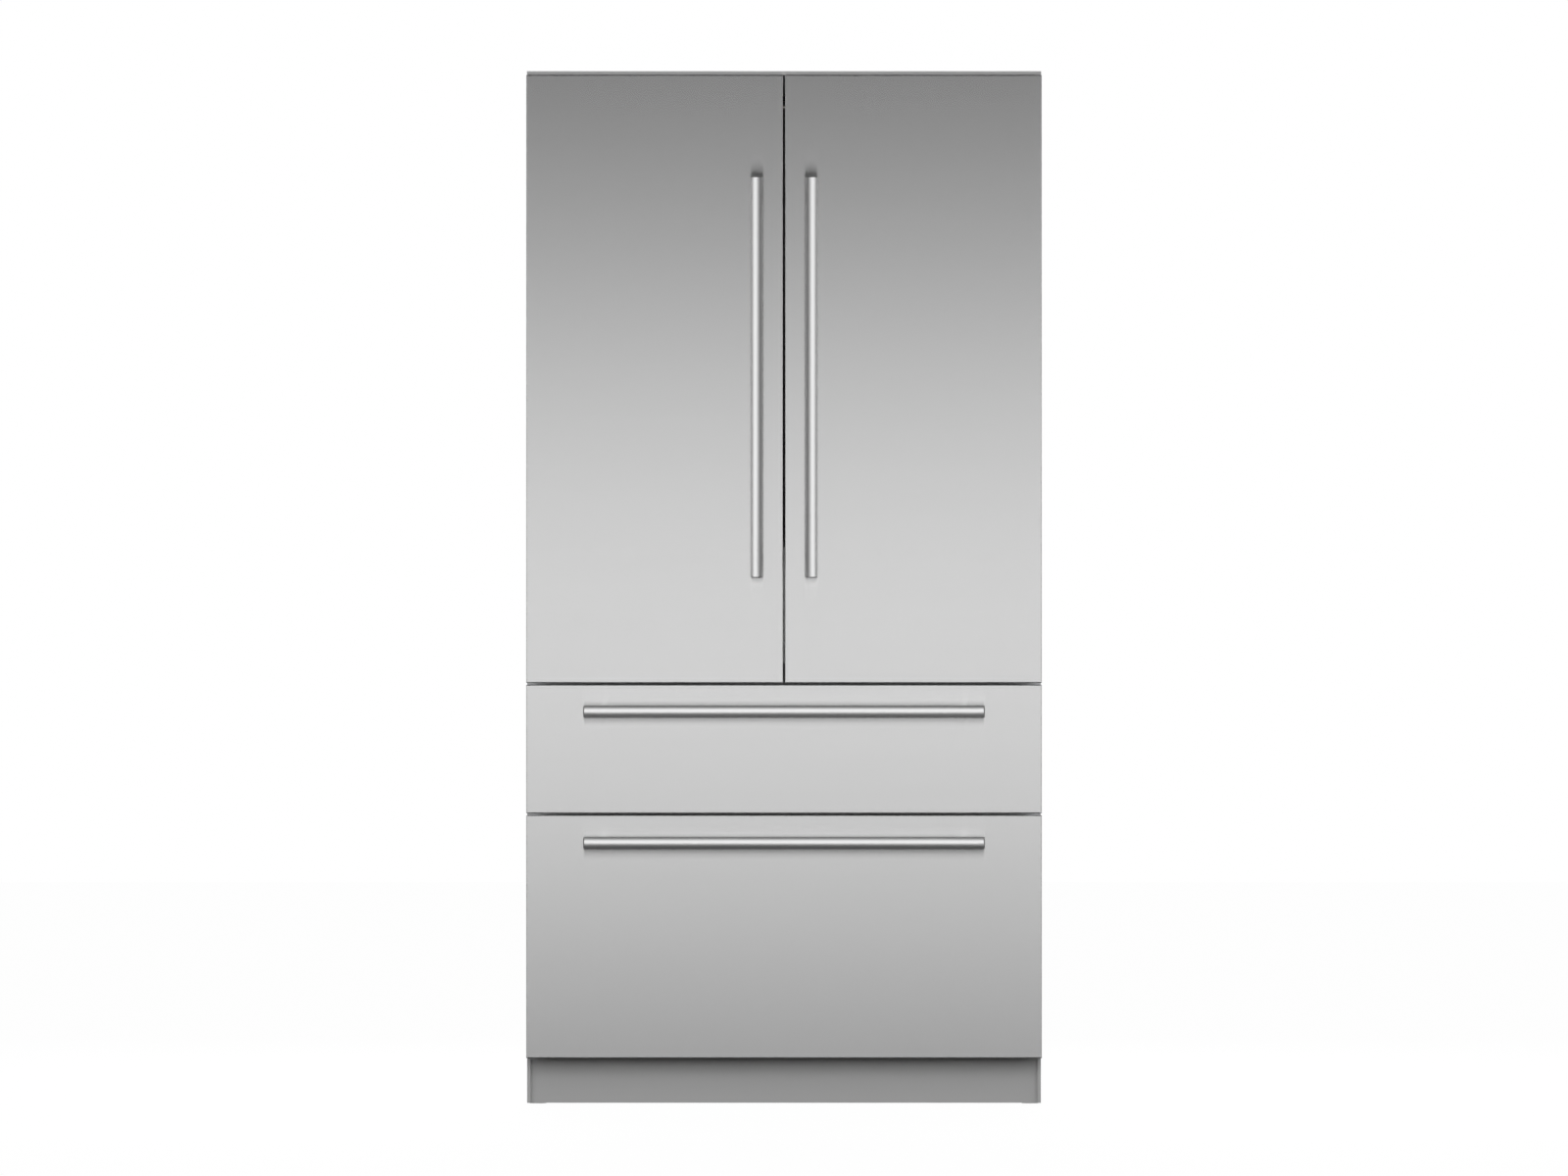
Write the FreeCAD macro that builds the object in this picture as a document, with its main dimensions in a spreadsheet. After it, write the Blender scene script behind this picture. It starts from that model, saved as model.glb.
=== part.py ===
# Built-in French-door refrigerator with two freezer drawers below.
# Millimetres. +Z up, the front faces -Y, the origin is on the floor at the middle of the
# overall width and depth. Each sub-part is a body bound to the two sheets below.
import FreeCAD, Part
import os
import Sketcher

os.makedirs("parts", exist_ok=True)
doc = FreeCAD.newDocument("french_door_refrigerator")
Vector = FreeCAD.Vector

# Driving sizes: each one can be set by itself.
SIZES = {
    # overall
    "width": 1060,  # over the door panels
    "depth": 610,  # panel face to back
    "side_reveal": 1,  # side sheet inside the panel's side edge
    "kick_height": 95.6,  # floor to the lower drawer panel
    "lower_height": 499.6,  # lower drawer panel
    "upper_height": 264.2,  # upper drawer panel
    "door_height": 1250,
    "panel_gap": 4,  # reveal between neighbouring panels
    "trim_gap": 1,
    "trim_tall": 7.6,
    "trim_depth": 52,
    # panels and doors
    "panel_thick": 20,
    "panel_sheet": 1.2,
    "panel_round": 2,
    "nose_back": 3,  # front of the foam behind the panel face
    "core_thick": 50,
    "core_side": 4,  # core edge behind the panel's side edge
    "core_end": 12,  # core edge behind the panel's top and bottom edge
    "core_round": 6,
    "rim_depth": 30,  # raised rim on the inside of a door
    "rim_wall": 16,
    "rim_middle": 42,  # rim edge from the middle of the refrigerator
    "rim_side": 6,  # rim edge inside the liner
    # gaskets
    "seal_gap": 5,
    "seal_play": 0.3,
    "seal_inset": 10,
    "seal_width": 12,
    "seal_land": 4,  # front frame showing inside the gasket
    "seal_round": 1.5,
    # cabinet
    "skin": 1,
    "frame_sheet": 1.2,
    "side_wall": 50,
    "rear_wall": 65.5,
    "liner_wall": 2,
    "liner_round": 10,
    "machine_depth": 206.5,
    "machine_top": 300,
    "step_wall": 45,
    "ledge_out": 9,
    "ledge_tall": 8,
    "ledge_ahead": 3,  # ledge starts in front of the shelf
    # base
    "foot_radius": 18,
    "foot_pad": 8,
    "foot_nut": 4,
    "base_bottom": 18,
    "rail_width": 40,
    "rail_sheet": 3,
    "foot_inset": 60,
    "kick_recess": 60,  # front edge of the kick returns behind the panel face
    "kick_plate": 2,
    "kick_return": 7,
    "kick_clear": 2,
    "anti_tip_spacing": 600,
    "anti_tip_hole": 9,
    "anti_tip_edge": 12,  # steel left below and above the anti-tip holes
    "header_spacing": 800,
    "header_hole": 5,
    # handles
    "handle_reach": 63,  # panel face to the front of the bar
    "bar_diameter": 26,
    "bar_length": 824.4,
    "bar_chamfer": 2,
    "post_diameter": 16,
    "post_inset": 42,
    "handle_side": 56,  # door handle axis from the middle
    "handle_low": 216.1,  # lower end of a door handle above the door's lower edge
    "upper_handle_drop": 54.8,  # handle axis below the upper drawer panel's top edge
    "lower_handle_drop": 56.5,
    # hinges
    "pivot_side": 12,  # from the panel's side edge
    "pivot_back": 30,  # behind the panel face
    "pin_radius": 5,
    "pin_play": 0.06,
    "pin_length": 22,
    "hinge_plate": 5,
    "hinge_play": 1,
    "hinge_nose": 9,
    "hinge_edge": 3,  # bracket beyond the pin's axis
    "hinge_rise": 1,
    "bore_extra": 3,  # bore deeper than the pin
    "hinge_arm": 34,
    "hinge_flange": 3,
    "hinge_flange_tall": 9,
    "hinge_flange_wide": 56,
    # folding mullion between the doors
    "flap_half": 38,
    "flap_thick": 16,
    "flap_end": 20,  # below the top and above the bottom of the opening
    "flap_pin": 3,
    "flap_pin_long": 4,
    "flap_round": 3.2,
    "ear_thick": 4,
    "ear_half": 7.2,
    "ear_back": 6.4,
    "ear_clear": 0.6,  # between an ear and the gasket
    # drawer slides
    "slide_front": 8,
    "slide_end_gap": 27.3,  # in front of the liner's back wall
    "slide_tall": 46,
    "slide_thick": 12,
    "slide_sheet": 1.2,
    "slide_play": 0.4,
    "upper_slide_up": 62,
    "lower_slide_up": 57,
    # drawer bins
    "bin_wall": 2.5,
    "bin_round": 8,
    "bin_floor_gap": 12,
    "bin_top_gap": 16,
    "bin_back_gap": 25,
    "bin_step_gap": 10,
    # door bins
    "rack_height": 110,
    "rack_depth": 90,
    "rack_wall": 3,
    "rack_round": 6,
    "rack_side": 1,
    "rack_first": 45,
    "rack_pitch": 365,
    "rack_slant": 8,
    # crispers and shelves
    "glass": 5,
    "glass_round": 1.5,
    "cover_up": 243,  # crisper cover above the fridge floor
    "shelf_up": 555,
    "shelf_pitch": 300,
    "shelf_play": 1.5,
    "shelf_setback": 113.5,  # behind the front frame
    "shelf_duct_gap": 6,
    "crisper_play": 0.3,
    "crisper_wall": 3,
    "crisper_side": 6,
    "crisper_middle": 45,
    "crisper_setback": 108.5,  # behind the front frame
    "crisper_back_gap": 4,
    "crisper_top_gap": 4,
    "crisper_round": 9,
    "crisper_lip": 14,
    "grip_tall": 26,
    "cover_post": 6,
    "post_setback": 10,
    # air duct and cooling coil at the back of the fridge
    "duct_half": 210,
    "duct_deep": 73,
    "duct_shallow": 28,
    "duct_step_up": 308,
    "duct_top_gap": 20,
    "duct_upper_half": 150,
    "duct_wall": 2.5,
    "duct_round": 4,
    "slot_tall": 6,
    "slot_wide": 90,
    "slot_pitch": 14,
    "slot_side": 66,
    "slot_up": 60,  # first outlet above a shelf
    "fan_up": 226,  # evaporator fan axis above the fridge floor
    "fan_radius": 50,
    "fan_pin": 3,
    "fan_post": 30,
    "fan_deep": 18,
    "fan_gap": 4,  # between the condenser fan and its plate
    "fan_duct_gap": 8,
    "blade_edge": 2,
    "blade_root_lean": 7,
    "blade_root_thick": 1.2,
    "blade_tip_lean": 9,
    "blade_tip_thick": 0.8,
    # machine compartment
    "compressor_radius": 76,
    "compressor_tall": 150,
    "compressor_side": 250,
    "can_round": 30.4,
    "footing_margin": 16,
    "footing_inset": 8,
    "footing_sheet": 4,
    "grommet_tall": 12,
    "grommet_radius": 9,
    "grommet_out": 4,
    "grommet_in": 22,
    "terminal_sink": 12,
    "terminal_deep": 18,
    "terminal_half": 28,
    "terminal_low": 50,
    "terminal_tall": 60,
    "cooler_radius": 60,
    "cooler_side": 60,
    "shroud_half": 76,
    "shroud_sheet": 3,
    "mouth_play": 4,
    "arm_half": 5,
    "arm_thick": 4,
    "motor_radius": 22,
    "motor_long": 40,
    "pin_reach": 24,
    "cord_hole": 11,
    "cord_side": 420,
    "cord_up": 110,
    "louvre_wide": 160,
    "louvre_across": 200,
    "louvre_up": 70,
    "louvre_pitch": 24,
    # finned coils
    "tube_radius": 4,
    "tube_pitch": 26,
    "fin_thick": 0.8,
    "fin_pitch": 13,
    "fin_half": 18,  # half the depth of a fin
    "condenser_start": 70,  # beyond the fan plate
    "condenser_end": 360,
    "coil_inset": 30,  # cooling coil inside the duct's sides
    # control panel under the ceiling of the fridge
    "control_half": 140,
    "control_deep": 90,
    "control_tall": 20,
    "control_setback": 98.5,  # behind the front frame
}

# Counts of what repeats.
LOUVRE_COLUMNS = (-1.5, -0.5, 0.5)
LOUVRE_ROWS = 8
OUTLET_ROWS = 6
INLET_ROWS = 5
COIL_ROWS = 6
FAN_BLADES = 7
COIL_END = 0.75  # fin beyond the outer tube runs, in pitches
ALONG = 0.999  # cosine of a direction taken as parallel
FACING = 0.97  # cosine of a face taken as looking one way
TOUCH = 0.01  # distance taken as none

# Places worked out from the sizes, in the object's own frame.
PLACES = {
    "half_panel": "=Size.width / 2",
    "half_shell": "=half_panel - Size.side_reveal",
    "half_body": "=half_shell - Size.skin",
    "cave_half": "=half_body - Size.side_wall",
    "liner_half": "=cave_half - Size.liner_wall",
    # front to back
    "panel_front": "=(Size.handle_reach - Size.depth) / 2",
    "panel_back": "=panel_front + Size.panel_thick",
    "core_back": "=panel_back + Size.core_thick",
    "frame_front": "=core_back + Size.seal_gap",
    "frame_back": "=frame_front + Size.frame_sheet",
    "rear": "=panel_front + Size.depth",
    "cover_front": "=rear - Size.skin",
    "cave_back": "=cover_front - Size.rear_wall",
    "liner_back": "=cave_back - Size.liner_wall",
    "machine_front": "=cover_front - Size.machine_depth + Size.skin",
    "step_front": "=machine_front - Size.step_wall",
    "step_top": "=Size.machine_top + Size.step_wall",
    "pivot_y": "=panel_front + Size.pivot_back",
    "pivot_x": "=half_panel - Size.pivot_side",
    "bar_y": "=panel_front - Size.handle_reach + Size.bar_diameter / 2",
    # upwards
    "seal_edge": "=Size.core_side + Size.seal_inset + Size.seal_width",
    "seal_middle": "=Size.panel_gap / 2 + seal_edge + Size.ear_clear",
    "seal_reach": "=Size.core_end + Size.seal_inset + Size.seal_width + Size.seal_land",
    "lower_bottom": "=Size.kick_height",
    "lower_top": "=lower_bottom + Size.lower_height",
    "upper_bottom": "=lower_top + Size.panel_gap",
    "upper_top": "=upper_bottom + Size.upper_height",
    "door_bottom": "=upper_top + Size.panel_gap",
    "door_top": "=door_bottom + Size.door_height",
    "trim_bottom": "=door_top + Size.trim_gap",
    "roof": "=trim_bottom + Size.trim_tall",
    "lower_cave_bottom": "=lower_bottom + seal_reach",
    "lower_cave_top": "=lower_top - seal_reach",
    "upper_cave_bottom": "=upper_bottom + seal_reach",
    "upper_cave_top": "=upper_top - seal_reach",
    "fridge_bottom": "=door_bottom + seal_reach",
    "fridge_top": "=door_top - seal_reach",
    "fridge_deck": "=fridge_bottom + Size.liner_wall",
    "fridge_ceiling": "=fridge_top - Size.liner_wall",
    # doors
    "door_core_bottom": "=door_bottom + Size.core_end",
    "door_core_top": "=door_top - Size.core_end",
    "rim_outer": "=liner_half - Size.rim_side",
    "rim_back": "=core_back + Size.rim_depth",
    "rim_bottom": "=fridge_deck + Size.rim_side",
    "rim_top": "=fridge_ceiling - Size.rim_side",
    "flap_y": "=frame_front + Size.flap_thick / 2",
    "flap_x": "=-Size.flap_half + Size.flap_thick / 2",
    "flap_bottom": "=fridge_bottom + Size.flap_end",
    "flap_top": "=fridge_top - Size.flap_end",
    # drawers
    "slide_y": "=frame_back + Size.slide_front",
    "slide_end": "=liner_back - Size.slide_end_gap",
    "bin_half": "=liner_half - Size.slide_thick",
    "bin_back": "=liner_back - Size.bin_back_gap",
    "bin_step": "=step_front - Size.liner_wall - Size.bin_step_gap",
    "bin_step_top": "=step_top + Size.liner_wall + Size.bin_floor_gap",
    "upper_slide": "=upper_cave_bottom + Size.upper_slide_up",
    "lower_slide": "=step_top + Size.lower_slide_up",
    "upper_bin_bottom": "=upper_cave_bottom + Size.liner_wall + Size.bin_floor_gap",
    "upper_bin_top": "=upper_cave_top - Size.liner_wall - Size.bin_top_gap",
    "lower_bin_bottom": "=lower_cave_bottom + Size.liner_wall + Size.bin_floor_gap",
    "lower_bin_top": "=lower_cave_top - Size.liner_wall - Size.bin_top_gap",
    "upper_handle": "=upper_top - Size.upper_handle_drop",
    "lower_handle": "=lower_top - Size.lower_handle_drop",
    # inside the fridge
    "cover_z": "=fridge_deck + Size.cover_up",
    "shelf_lower_z": "=fridge_deck + Size.shelf_up",
    "shelf_upper_z": "=shelf_lower_z + Size.shelf_pitch",
    "duct_front": "=liner_back - Size.duct_deep",
    "duct_upper_front": "=liner_back - Size.duct_shallow",
    "shelf_front": "=frame_front + Size.shelf_setback",
    "shelf_back": "=duct_front - Size.shelf_duct_gap",
    "ledge_front": "=shelf_front - Size.ledge_ahead",
    "crisper_front": "=frame_front + Size.crisper_setback",
    "control_front": "=frame_front + Size.control_setback",
    "duct_step": "=fridge_deck + Size.duct_step_up",
    "fan_z": "=fridge_deck + Size.fan_up",
    # base
    "pan_top": "=Size.base_bottom + Size.rail_sheet",
    "kick_front": "=panel_front + Size.kick_recess",
    "rail_inner": "=half_body - Size.rail_width",
    "anti_tip_z": "=Size.base_bottom + Size.anti_tip_hole + Size.anti_tip_edge",
    "rail_top": "=anti_tip_z + Size.anti_tip_hole + Size.anti_tip_edge",
    "machine_y": "=(machine_front + cover_front) / 2",
    "cooler_z": "=pan_top + Size.shroud_half",
}

PLANE_ROLES = {"XY": "XY_Plane", "XZ": "XZ_Plane", "YZ": "YZ_Plane"}
bodies = []


def make_sheet(name, cells):
    """A sheet with one named cell for each entry."""
    sheet = doc.addObject("Spreadsheet::Sheet", name)
    for row, (alias, content) in enumerate(cells.items(), start=1):
        sheet.set(f"A{row}", alias)
        sheet.set(f"B{row}", str(content))
        sheet.setAlias(f"B{row}", alias)
    doc.recompute()
    return sheet


make_sheet("Size", SIZES)
place = make_sheet("Place", PLACES)


def number(expression):
    """What an expression on the sheets comes to."""
    return float(place.evalExpression(str(expression)))


def new_body(label):
    """An empty body under its own name."""
    body = doc.addObject("PartDesign::Body", label)
    body.Label = label
    bodies.append(body)
    return body


def origin_feature(body, role):
    """One of the body's own origin planes or axes."""
    for feature in body.Origin.OriginFeatures:
        if feature.Role == role:
            return feature
    raise ValueError(role)


def rectangle(left, low, right, high):
    """The corners of a rectangle, as expressions."""
    return [(left, low), (right, low), (right, high), (left, high)]


def circle(across, up, radius):
    """A circle's centre and radius, as expressions."""
    return {"centre": (across, up), "radius": radius}


def bind(sketch, kind, geometry, point, expression):
    """Ties one coordinate of a sketch point to an expression."""
    constraint = Sketcher.Constraint(kind, -1, 1, geometry, point, number(expression))
    index = sketch.addConstraint(constraint)
    sketch.setExpression(f"Constraints[{index}]", str(expression))


def draw_loop(sketch, loop):
    """Adds one closed outline, a circle or a polygon, to a sketch."""
    if isinstance(loop, dict):
        across, up = loop["centre"]
        centre = Vector(number(across), number(up), 0)
        shape = Part.Circle(centre, Vector(0, 0, 1), number(loop["radius"]))
        index = sketch.addGeometry(shape, False)
        bind(sketch, "DistanceX", index, 3, across)
        bind(sketch, "DistanceY", index, 3, up)
        radius = sketch.addConstraint(Sketcher.Constraint("Radius", index, number(loop["radius"])))
        sketch.setExpression(f"Constraints[{radius}]", str(loop["radius"]))
        return
    corners = [Vector(number(across), number(up), 0) for across, up in loop]
    first = sketch.GeometryCount
    count = len(loop)
    for step in range(count):
        line = Part.LineSegment(corners[step], corners[(step + 1) % count])
        sketch.addGeometry(line, False)
    for step in range(count):
        following = first + (step + 1) % count
        sketch.addConstraint(Sketcher.Constraint("Coincident", first + step, 2, following, 1))
    for step, (across, up) in enumerate(loop):
        bind(sketch, "DistanceX", first + step, 1, across)
        bind(sketch, "DistanceY", first + step, 1, up)


def draw(body, plane, offset, loops):
    """A sketch on one of the body's origin planes, moved along its normal."""
    sketch = body.newObject("Sketcher::SketchObject", f"{body.Name}_outline")
    sketch.AttachmentSupport = [(origin_feature(body, PLANE_ROLES[plane]), "")]
    sketch.MapMode = "FlatFace"
    sketch.setExpression(".AttachmentOffset.Base.z", str(offset))
    for loop in loops:
        draw_loop(sketch, loop)
    return sketch


def pad(body, plane, loops, low, high):
    """Solid between two world heights of the plane's own axis."""
    start = f"-({high})" if plane == "XZ" else low
    sketch = draw(body, plane, start, loops)
    feature = body.newObject("PartDesign::Pad", f"{body.Name}_pad")
    feature.Profile = sketch
    feature.setExpression("Length", f"({high}) - ({low})")
    return feature


def pocket(body, plane, loops, low, high):
    """Removes what lies inside the outlines between two world heights."""
    doc.recompute()
    before = body.Shape.Volume
    start = f"-({low})" if plane == "XZ" else high
    sketch = draw(body, plane, start, loops)
    feature = body.newObject("PartDesign::Pocket", f"{body.Name}_pocket")
    feature.Profile = sketch
    feature.setExpression("Length", f"({high}) - ({low})")
    doc.recompute()
    if not body.Shape.Volume < before:
        raise ValueError(f"{body.Label}: a pocket cuts nothing")
    return feature


def block(body, across, along, upward):
    """A box between three pairs of expressions."""
    outline = rectangle(across[0], along[0], across[1], along[1])
    return pad(body, "XY", [outline], upward[0], upward[1])


def fillet(body, radius, chosen):
    """Rounds the chosen edges of the body so far."""
    doc.recompute()
    base = body.Tip
    edges = [f"Edge{i}" for i, edge in enumerate(base.Shape.Edges, start=1) if chosen(edge)]
    feature = body.newObject("PartDesign::Fillet", f"{body.Name}_round")
    feature.Base = (base, edges)
    feature.setExpression("Radius", str(radius))
    return feature


def chamfer(body, width, chosen):
    """Bevels the chosen edges of the body so far."""
    doc.recompute()
    base = body.Tip
    edges = [f"Edge{i}" for i, edge in enumerate(base.Shape.Edges, start=1) if chosen(edge)]
    feature = body.newObject("PartDesign::Chamfer", f"{body.Name}_bevel")
    feature.Base = (base, edges)
    feature.setExpression("Size", str(width))
    return feature


def shell(body, wall, opened):
    """Leaves an inward wall of the body so far, with the chosen faces open."""
    doc.recompute()
    base = body.Tip
    faces = [f"Face{i}" for i, face in enumerate(base.Shape.Faces, start=1) if opened(face)]
    feature = body.newObject("PartDesign::Thickness", f"{body.Name}_wall")
    feature.Base = (base, faces)
    feature.setExpression("Value", str(wall))
    feature.Reversed = True
    return feature


def facing(direction):
    """Picks flat faces that look one way."""
    wanted = Vector(*direction)

    def chosen(face):
        if face.Surface.TypeId != "Part::GeomPlane":
            return False
        return face.normalAt(0, 0).dot(wanted) > FACING

    return chosen


def straight(axis, **limits):
    """Picks straight edges along an axis; limits such as y_above keep some of them."""

    def chosen(edge):
        if edge.Curve.TypeId != "Part::GeomLine":
            return False
        if abs(getattr(edge.tangentAt(edge.FirstParameter), axis)) < ALONG:
            return False
        for name, expression in limits.items():
            letter, side = name.split("_")
            where = getattr(edge.CenterOfMass, letter)
            if side == "above" and where < number(expression):
                return False
            if side == "below" and where > number(expression):
                return False
        return True

    return chosen


def edges_at(axis, *expressions):
    """Picks edges that lie wholly at one of the given coordinates."""

    def chosen(edge):
        box = edge.BoundBox
        low = getattr(box, f"{axis.upper()}Min")
        high = getattr(box, f"{axis.upper()}Max")
        return any(max(abs(low - number(e)), abs(high - number(e))) < TOUCH for e in expressions)

    return chosen


# ---------------------------------------------------------------- cabinet

def make_cabinet_shell():
    """Outer sheet over both sides and the roof, folded from one strip."""
    body = new_body("cabinet_shell")
    outline = [
        ("-Place.half_shell", "Size.base_bottom"),
        ("-Place.half_body", "Size.base_bottom"),
        ("-Place.half_body", "Place.roof - Size.skin"),
        ("Place.half_body", "Place.roof - Size.skin"),
        ("Place.half_body", "Size.base_bottom"),
        ("Place.half_shell", "Size.base_bottom"),
        ("Place.half_shell", "Place.roof"),
        ("-Place.half_shell", "Place.roof"),
    ]
    pad(body, "XZ", [outline], "Place.frame_back", "Place.rear")


def make_insulation():
    """Foamed walls: sides, roof and back, open to the front and below."""
    body = new_body("insulation")
    whole = rectangle("-Place.half_body", "Size.kick_height",
                      "Place.half_body", "Place.roof - Size.skin")
    hollow = rectangle("-Place.cave_half", "Size.kick_height", "Place.cave_half", "Place.fridge_top")
    machine = rectangle("-Place.half_body", "Size.kick_height", "Place.half_body", "Size.machine_top")
    pad(body, "XZ", [whole], "Place.frame_back", "Place.cover_front")
    pocket(body, "XZ", [hollow], "Place.frame_back", "Place.cave_back")
    pocket(body, "XZ", [machine], "Place.machine_front", "Place.cover_front")


def make_dividers():
    """Insulated floors between the compartments, and the stepped floor of the lowest one."""
    spans = {
        "fridge_floor": ("Place.upper_cave_top", "Place.fridge_bottom"),
        "drawer_divider": ("Place.lower_cave_top", "Place.upper_cave_bottom"),
    }
    for label, upward in spans.items():
        body = new_body(label)
        block(body, ("-Place.cave_half", "Place.cave_half"),
              ("Place.frame_back", "Place.cave_back"), upward)
    body = new_body("freezer_floor")
    outline = [
        ("Place.frame_back", "Size.kick_height"),
        ("Place.machine_front", "Size.kick_height"),
        ("Place.machine_front", "Size.machine_top"),
        ("Place.cave_back", "Size.machine_top"),
        ("Place.cave_back", "Place.step_top"),
        ("Place.step_front", "Place.step_top"),
        ("Place.step_front", "Place.lower_cave_bottom"),
        ("Place.frame_back", "Place.lower_cave_bottom"),
    ]
    pad(body, "YZ", [outline], "-Place.cave_half", "Place.cave_half")


def make_fridge_liner():
    """Moulded liner of the fridge with ledges for the shelves on both side walls."""
    body = new_body("fridge_liner")
    block(body, ("-Place.cave_half", "Place.cave_half"), ("Place.frame_back", "Place.cave_back"),
          ("Place.fridge_bottom", "Place.fridge_top"))
    fillet(body, "Size.liner_round", straight("y"))
    shell(body, "Size.liner_wall", facing((0, -1, 0)))
    for height in ("Place.cover_z", "Place.shelf_lower_z", "Place.shelf_upper_z"):
        low = f"{height} - Size.ledge_tall"
        for side in (-1, 1):
            inner = f"{side} * (Place.liner_half - Size.ledge_out)"
            outer = f"{side} * (Place.liner_half + Size.liner_wall / 2)"
            ledge = rectangle(inner, "Place.ledge_front", outer, "Place.shelf_back")
            pad(body, "XY", [ledge], low, height)


def make_drawer_liners():
    """Liners of the two drawer compartments; the lower one steps over the machinery."""
    body = new_body("upper_drawer_liner")
    block(body, ("-Place.cave_half", "Place.cave_half"), ("Place.frame_back", "Place.cave_back"),
          ("Place.upper_cave_bottom", "Place.upper_cave_top"))
    fillet(body, "Size.liner_round", straight("y"))
    shell(body, "Size.liner_wall", facing((0, -1, 0)))
    body = new_body("lower_drawer_liner")
    outline = [
        ("Place.frame_back", "Place.lower_cave_bottom"),
        ("Place.step_front", "Place.lower_cave_bottom"),
        ("Place.step_front", "Place.step_top"),
        ("Place.cave_back", "Place.step_top"),
        ("Place.cave_back", "Place.lower_cave_top"),
        ("Place.frame_back", "Place.lower_cave_top"),
    ]
    pad(body, "YZ", [outline], "-Place.cave_half", "Place.cave_half")
    fillet(body, "Size.liner_round", straight("y", y_below="Place.step_front"))
    shell(body, "Size.liner_wall", facing((0, -1, 0)))


def make_face_frame():
    """Sheet steel front of the cabinet that the magnetic gaskets close on."""
    body = new_body("face_frame")
    windows = [("lower_cave_bottom", "lower_cave_top"), ("upper_cave_bottom", "upper_cave_top"),
               ("fridge_bottom", "fridge_top")]
    outline = rectangle("-Place.half_shell", "Size.kick_height", "Place.half_shell", "Place.trim_bottom")
    loops = [outline]
    for low, high in windows:
        loops.append(rectangle("-Place.cave_half", f"Place.{low}", "Place.cave_half", f"Place.{high}"))
    pad(body, "XZ", loops, "Place.frame_front", "Place.frame_back")


def make_rear_cover():
    """Back sheet with louvre slots over the machinery and a hole for the supply cord."""
    body = new_body("rear_cover")
    outline = rectangle("-Place.half_body", "Place.rail_top", "Place.half_body", "Place.roof - Size.skin")
    cord = circle("Size.cord_side", "Size.cord_up", "Size.cord_hole")
    pad(body, "XZ", [outline, cord], "Place.cover_front", "Place.rear")
    slots = []
    for column in LOUVRE_COLUMNS:
        for row in range(LOUVRE_ROWS):
            left = f"{column} * Size.louvre_across"
            low = f"Size.base_bottom + Size.louvre_up + {row} * Size.louvre_pitch"
            slots.append(rectangle(left, low, f"{left} + Size.louvre_wide", f"{low} + Size.slot_tall"))
    pocket(body, "XZ", slots, "Place.cover_front", "Place.rear")


def make_top_trim():
    """Hollow strip over the doors, with two holes for the screws into the surround."""
    body = new_body("top_trim")
    front = "Place.frame_back - Size.trim_depth"
    block(body, ("-Place.half_shell", "Place.half_shell"), (front, "Place.frame_back"),
          ("Place.trim_bottom", "Place.roof"))
    shell(body, "Size.panel_sheet", facing((0, 1, 0)))
    holes = []
    for side in (-1, 1):
        holes.append(circle(f"{side} * Size.header_spacing / 2",
                            "Place.frame_back - Size.trim_depth / 2", "Size.header_hole / 2"))
    pocket(body, "XY", holes, "Place.trim_bottom", "Place.roof")


# ---------------------------------------------------------------- base and machinery

def make_base_frame():
    """Welded base: two rails, a pan between them and a rear rail with anti-tip holes."""
    body = new_body("base_frame")
    rails = []
    for side in (-1, 1):
        rails.append(rectangle(f"{side} * Place.rail_inner", "Place.frame_back",
                               f"{side} * Place.half_body", "Place.cover_front"))
    pad(body, "XY", rails, "Size.base_bottom", "Place.pan_top")
    pan = rectangle("-Place.rail_inner", "Place.frame_back", "Place.rail_inner", "Place.cover_front")
    pad(body, "XY", [pan], "Size.base_bottom", "Place.pan_top")
    webs = []
    for side in (-1, 1):
        webs.append(rectangle(f"{side} * (Place.half_body - Size.rail_sheet)", "Place.frame_back",
                              f"{side} * Place.half_body", "Place.cover_front"))
        webs.append(rectangle(f"{side} * Place.rail_inner", "Place.frame_back",
                              f"{side} * (Place.rail_inner + Size.rail_sheet)", "Place.machine_front"))
    pad(body, "XY", webs, "Place.pan_top", "Size.kick_height")
    front = rectangle("-Place.rail_inner", "Place.frame_back",
                      "Place.rail_inner", "Place.frame_back + Size.rail_sheet")
    pad(body, "XY", [front], "Place.pan_top", "Size.kick_height")
    back = rectangle("-Place.half_body", "Place.cover_front - Size.rail_sheet",
                     "Place.half_body", "Place.cover_front")
    pad(body, "XY", [back], "Size.base_bottom", "Place.rail_top")
    holes = []
    for side in (-1, 1):
        holes.append(circle(f"{side} * Size.anti_tip_spacing / 2", "Place.anti_tip_z",
                            "Size.anti_tip_hole / 2"))
    pocket(body, "XZ", holes, "Place.cover_front - Size.rail_sheet", "Place.cover_front")


def make_levelling_feet():
    """Four screw feet under the rails."""
    body = new_body("levelling_feet")
    spots = []
    for side in (-1, 1):
        for end in ("Place.frame_back + Size.foot_inset", "Place.cover_front - Size.foot_inset"):
            spots.append((f"{side} * (Place.half_body - Size.rail_width / 2)", end))
    nut = "Size.base_bottom - Size.foot_nut"
    pad(body, "XY", [circle(x, y, "Size.foot_radius") for x, y in spots], "0", "Size.foot_pad")
    pad(body, "XY", [circle(x, y, "Size.foot_radius / 3") for x, y in spots], "Size.foot_pad", nut)
    pad(body, "XY", [circle(x, y, "Size.foot_radius / 2") for x, y in spots], nut, "Size.base_bottom")


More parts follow.
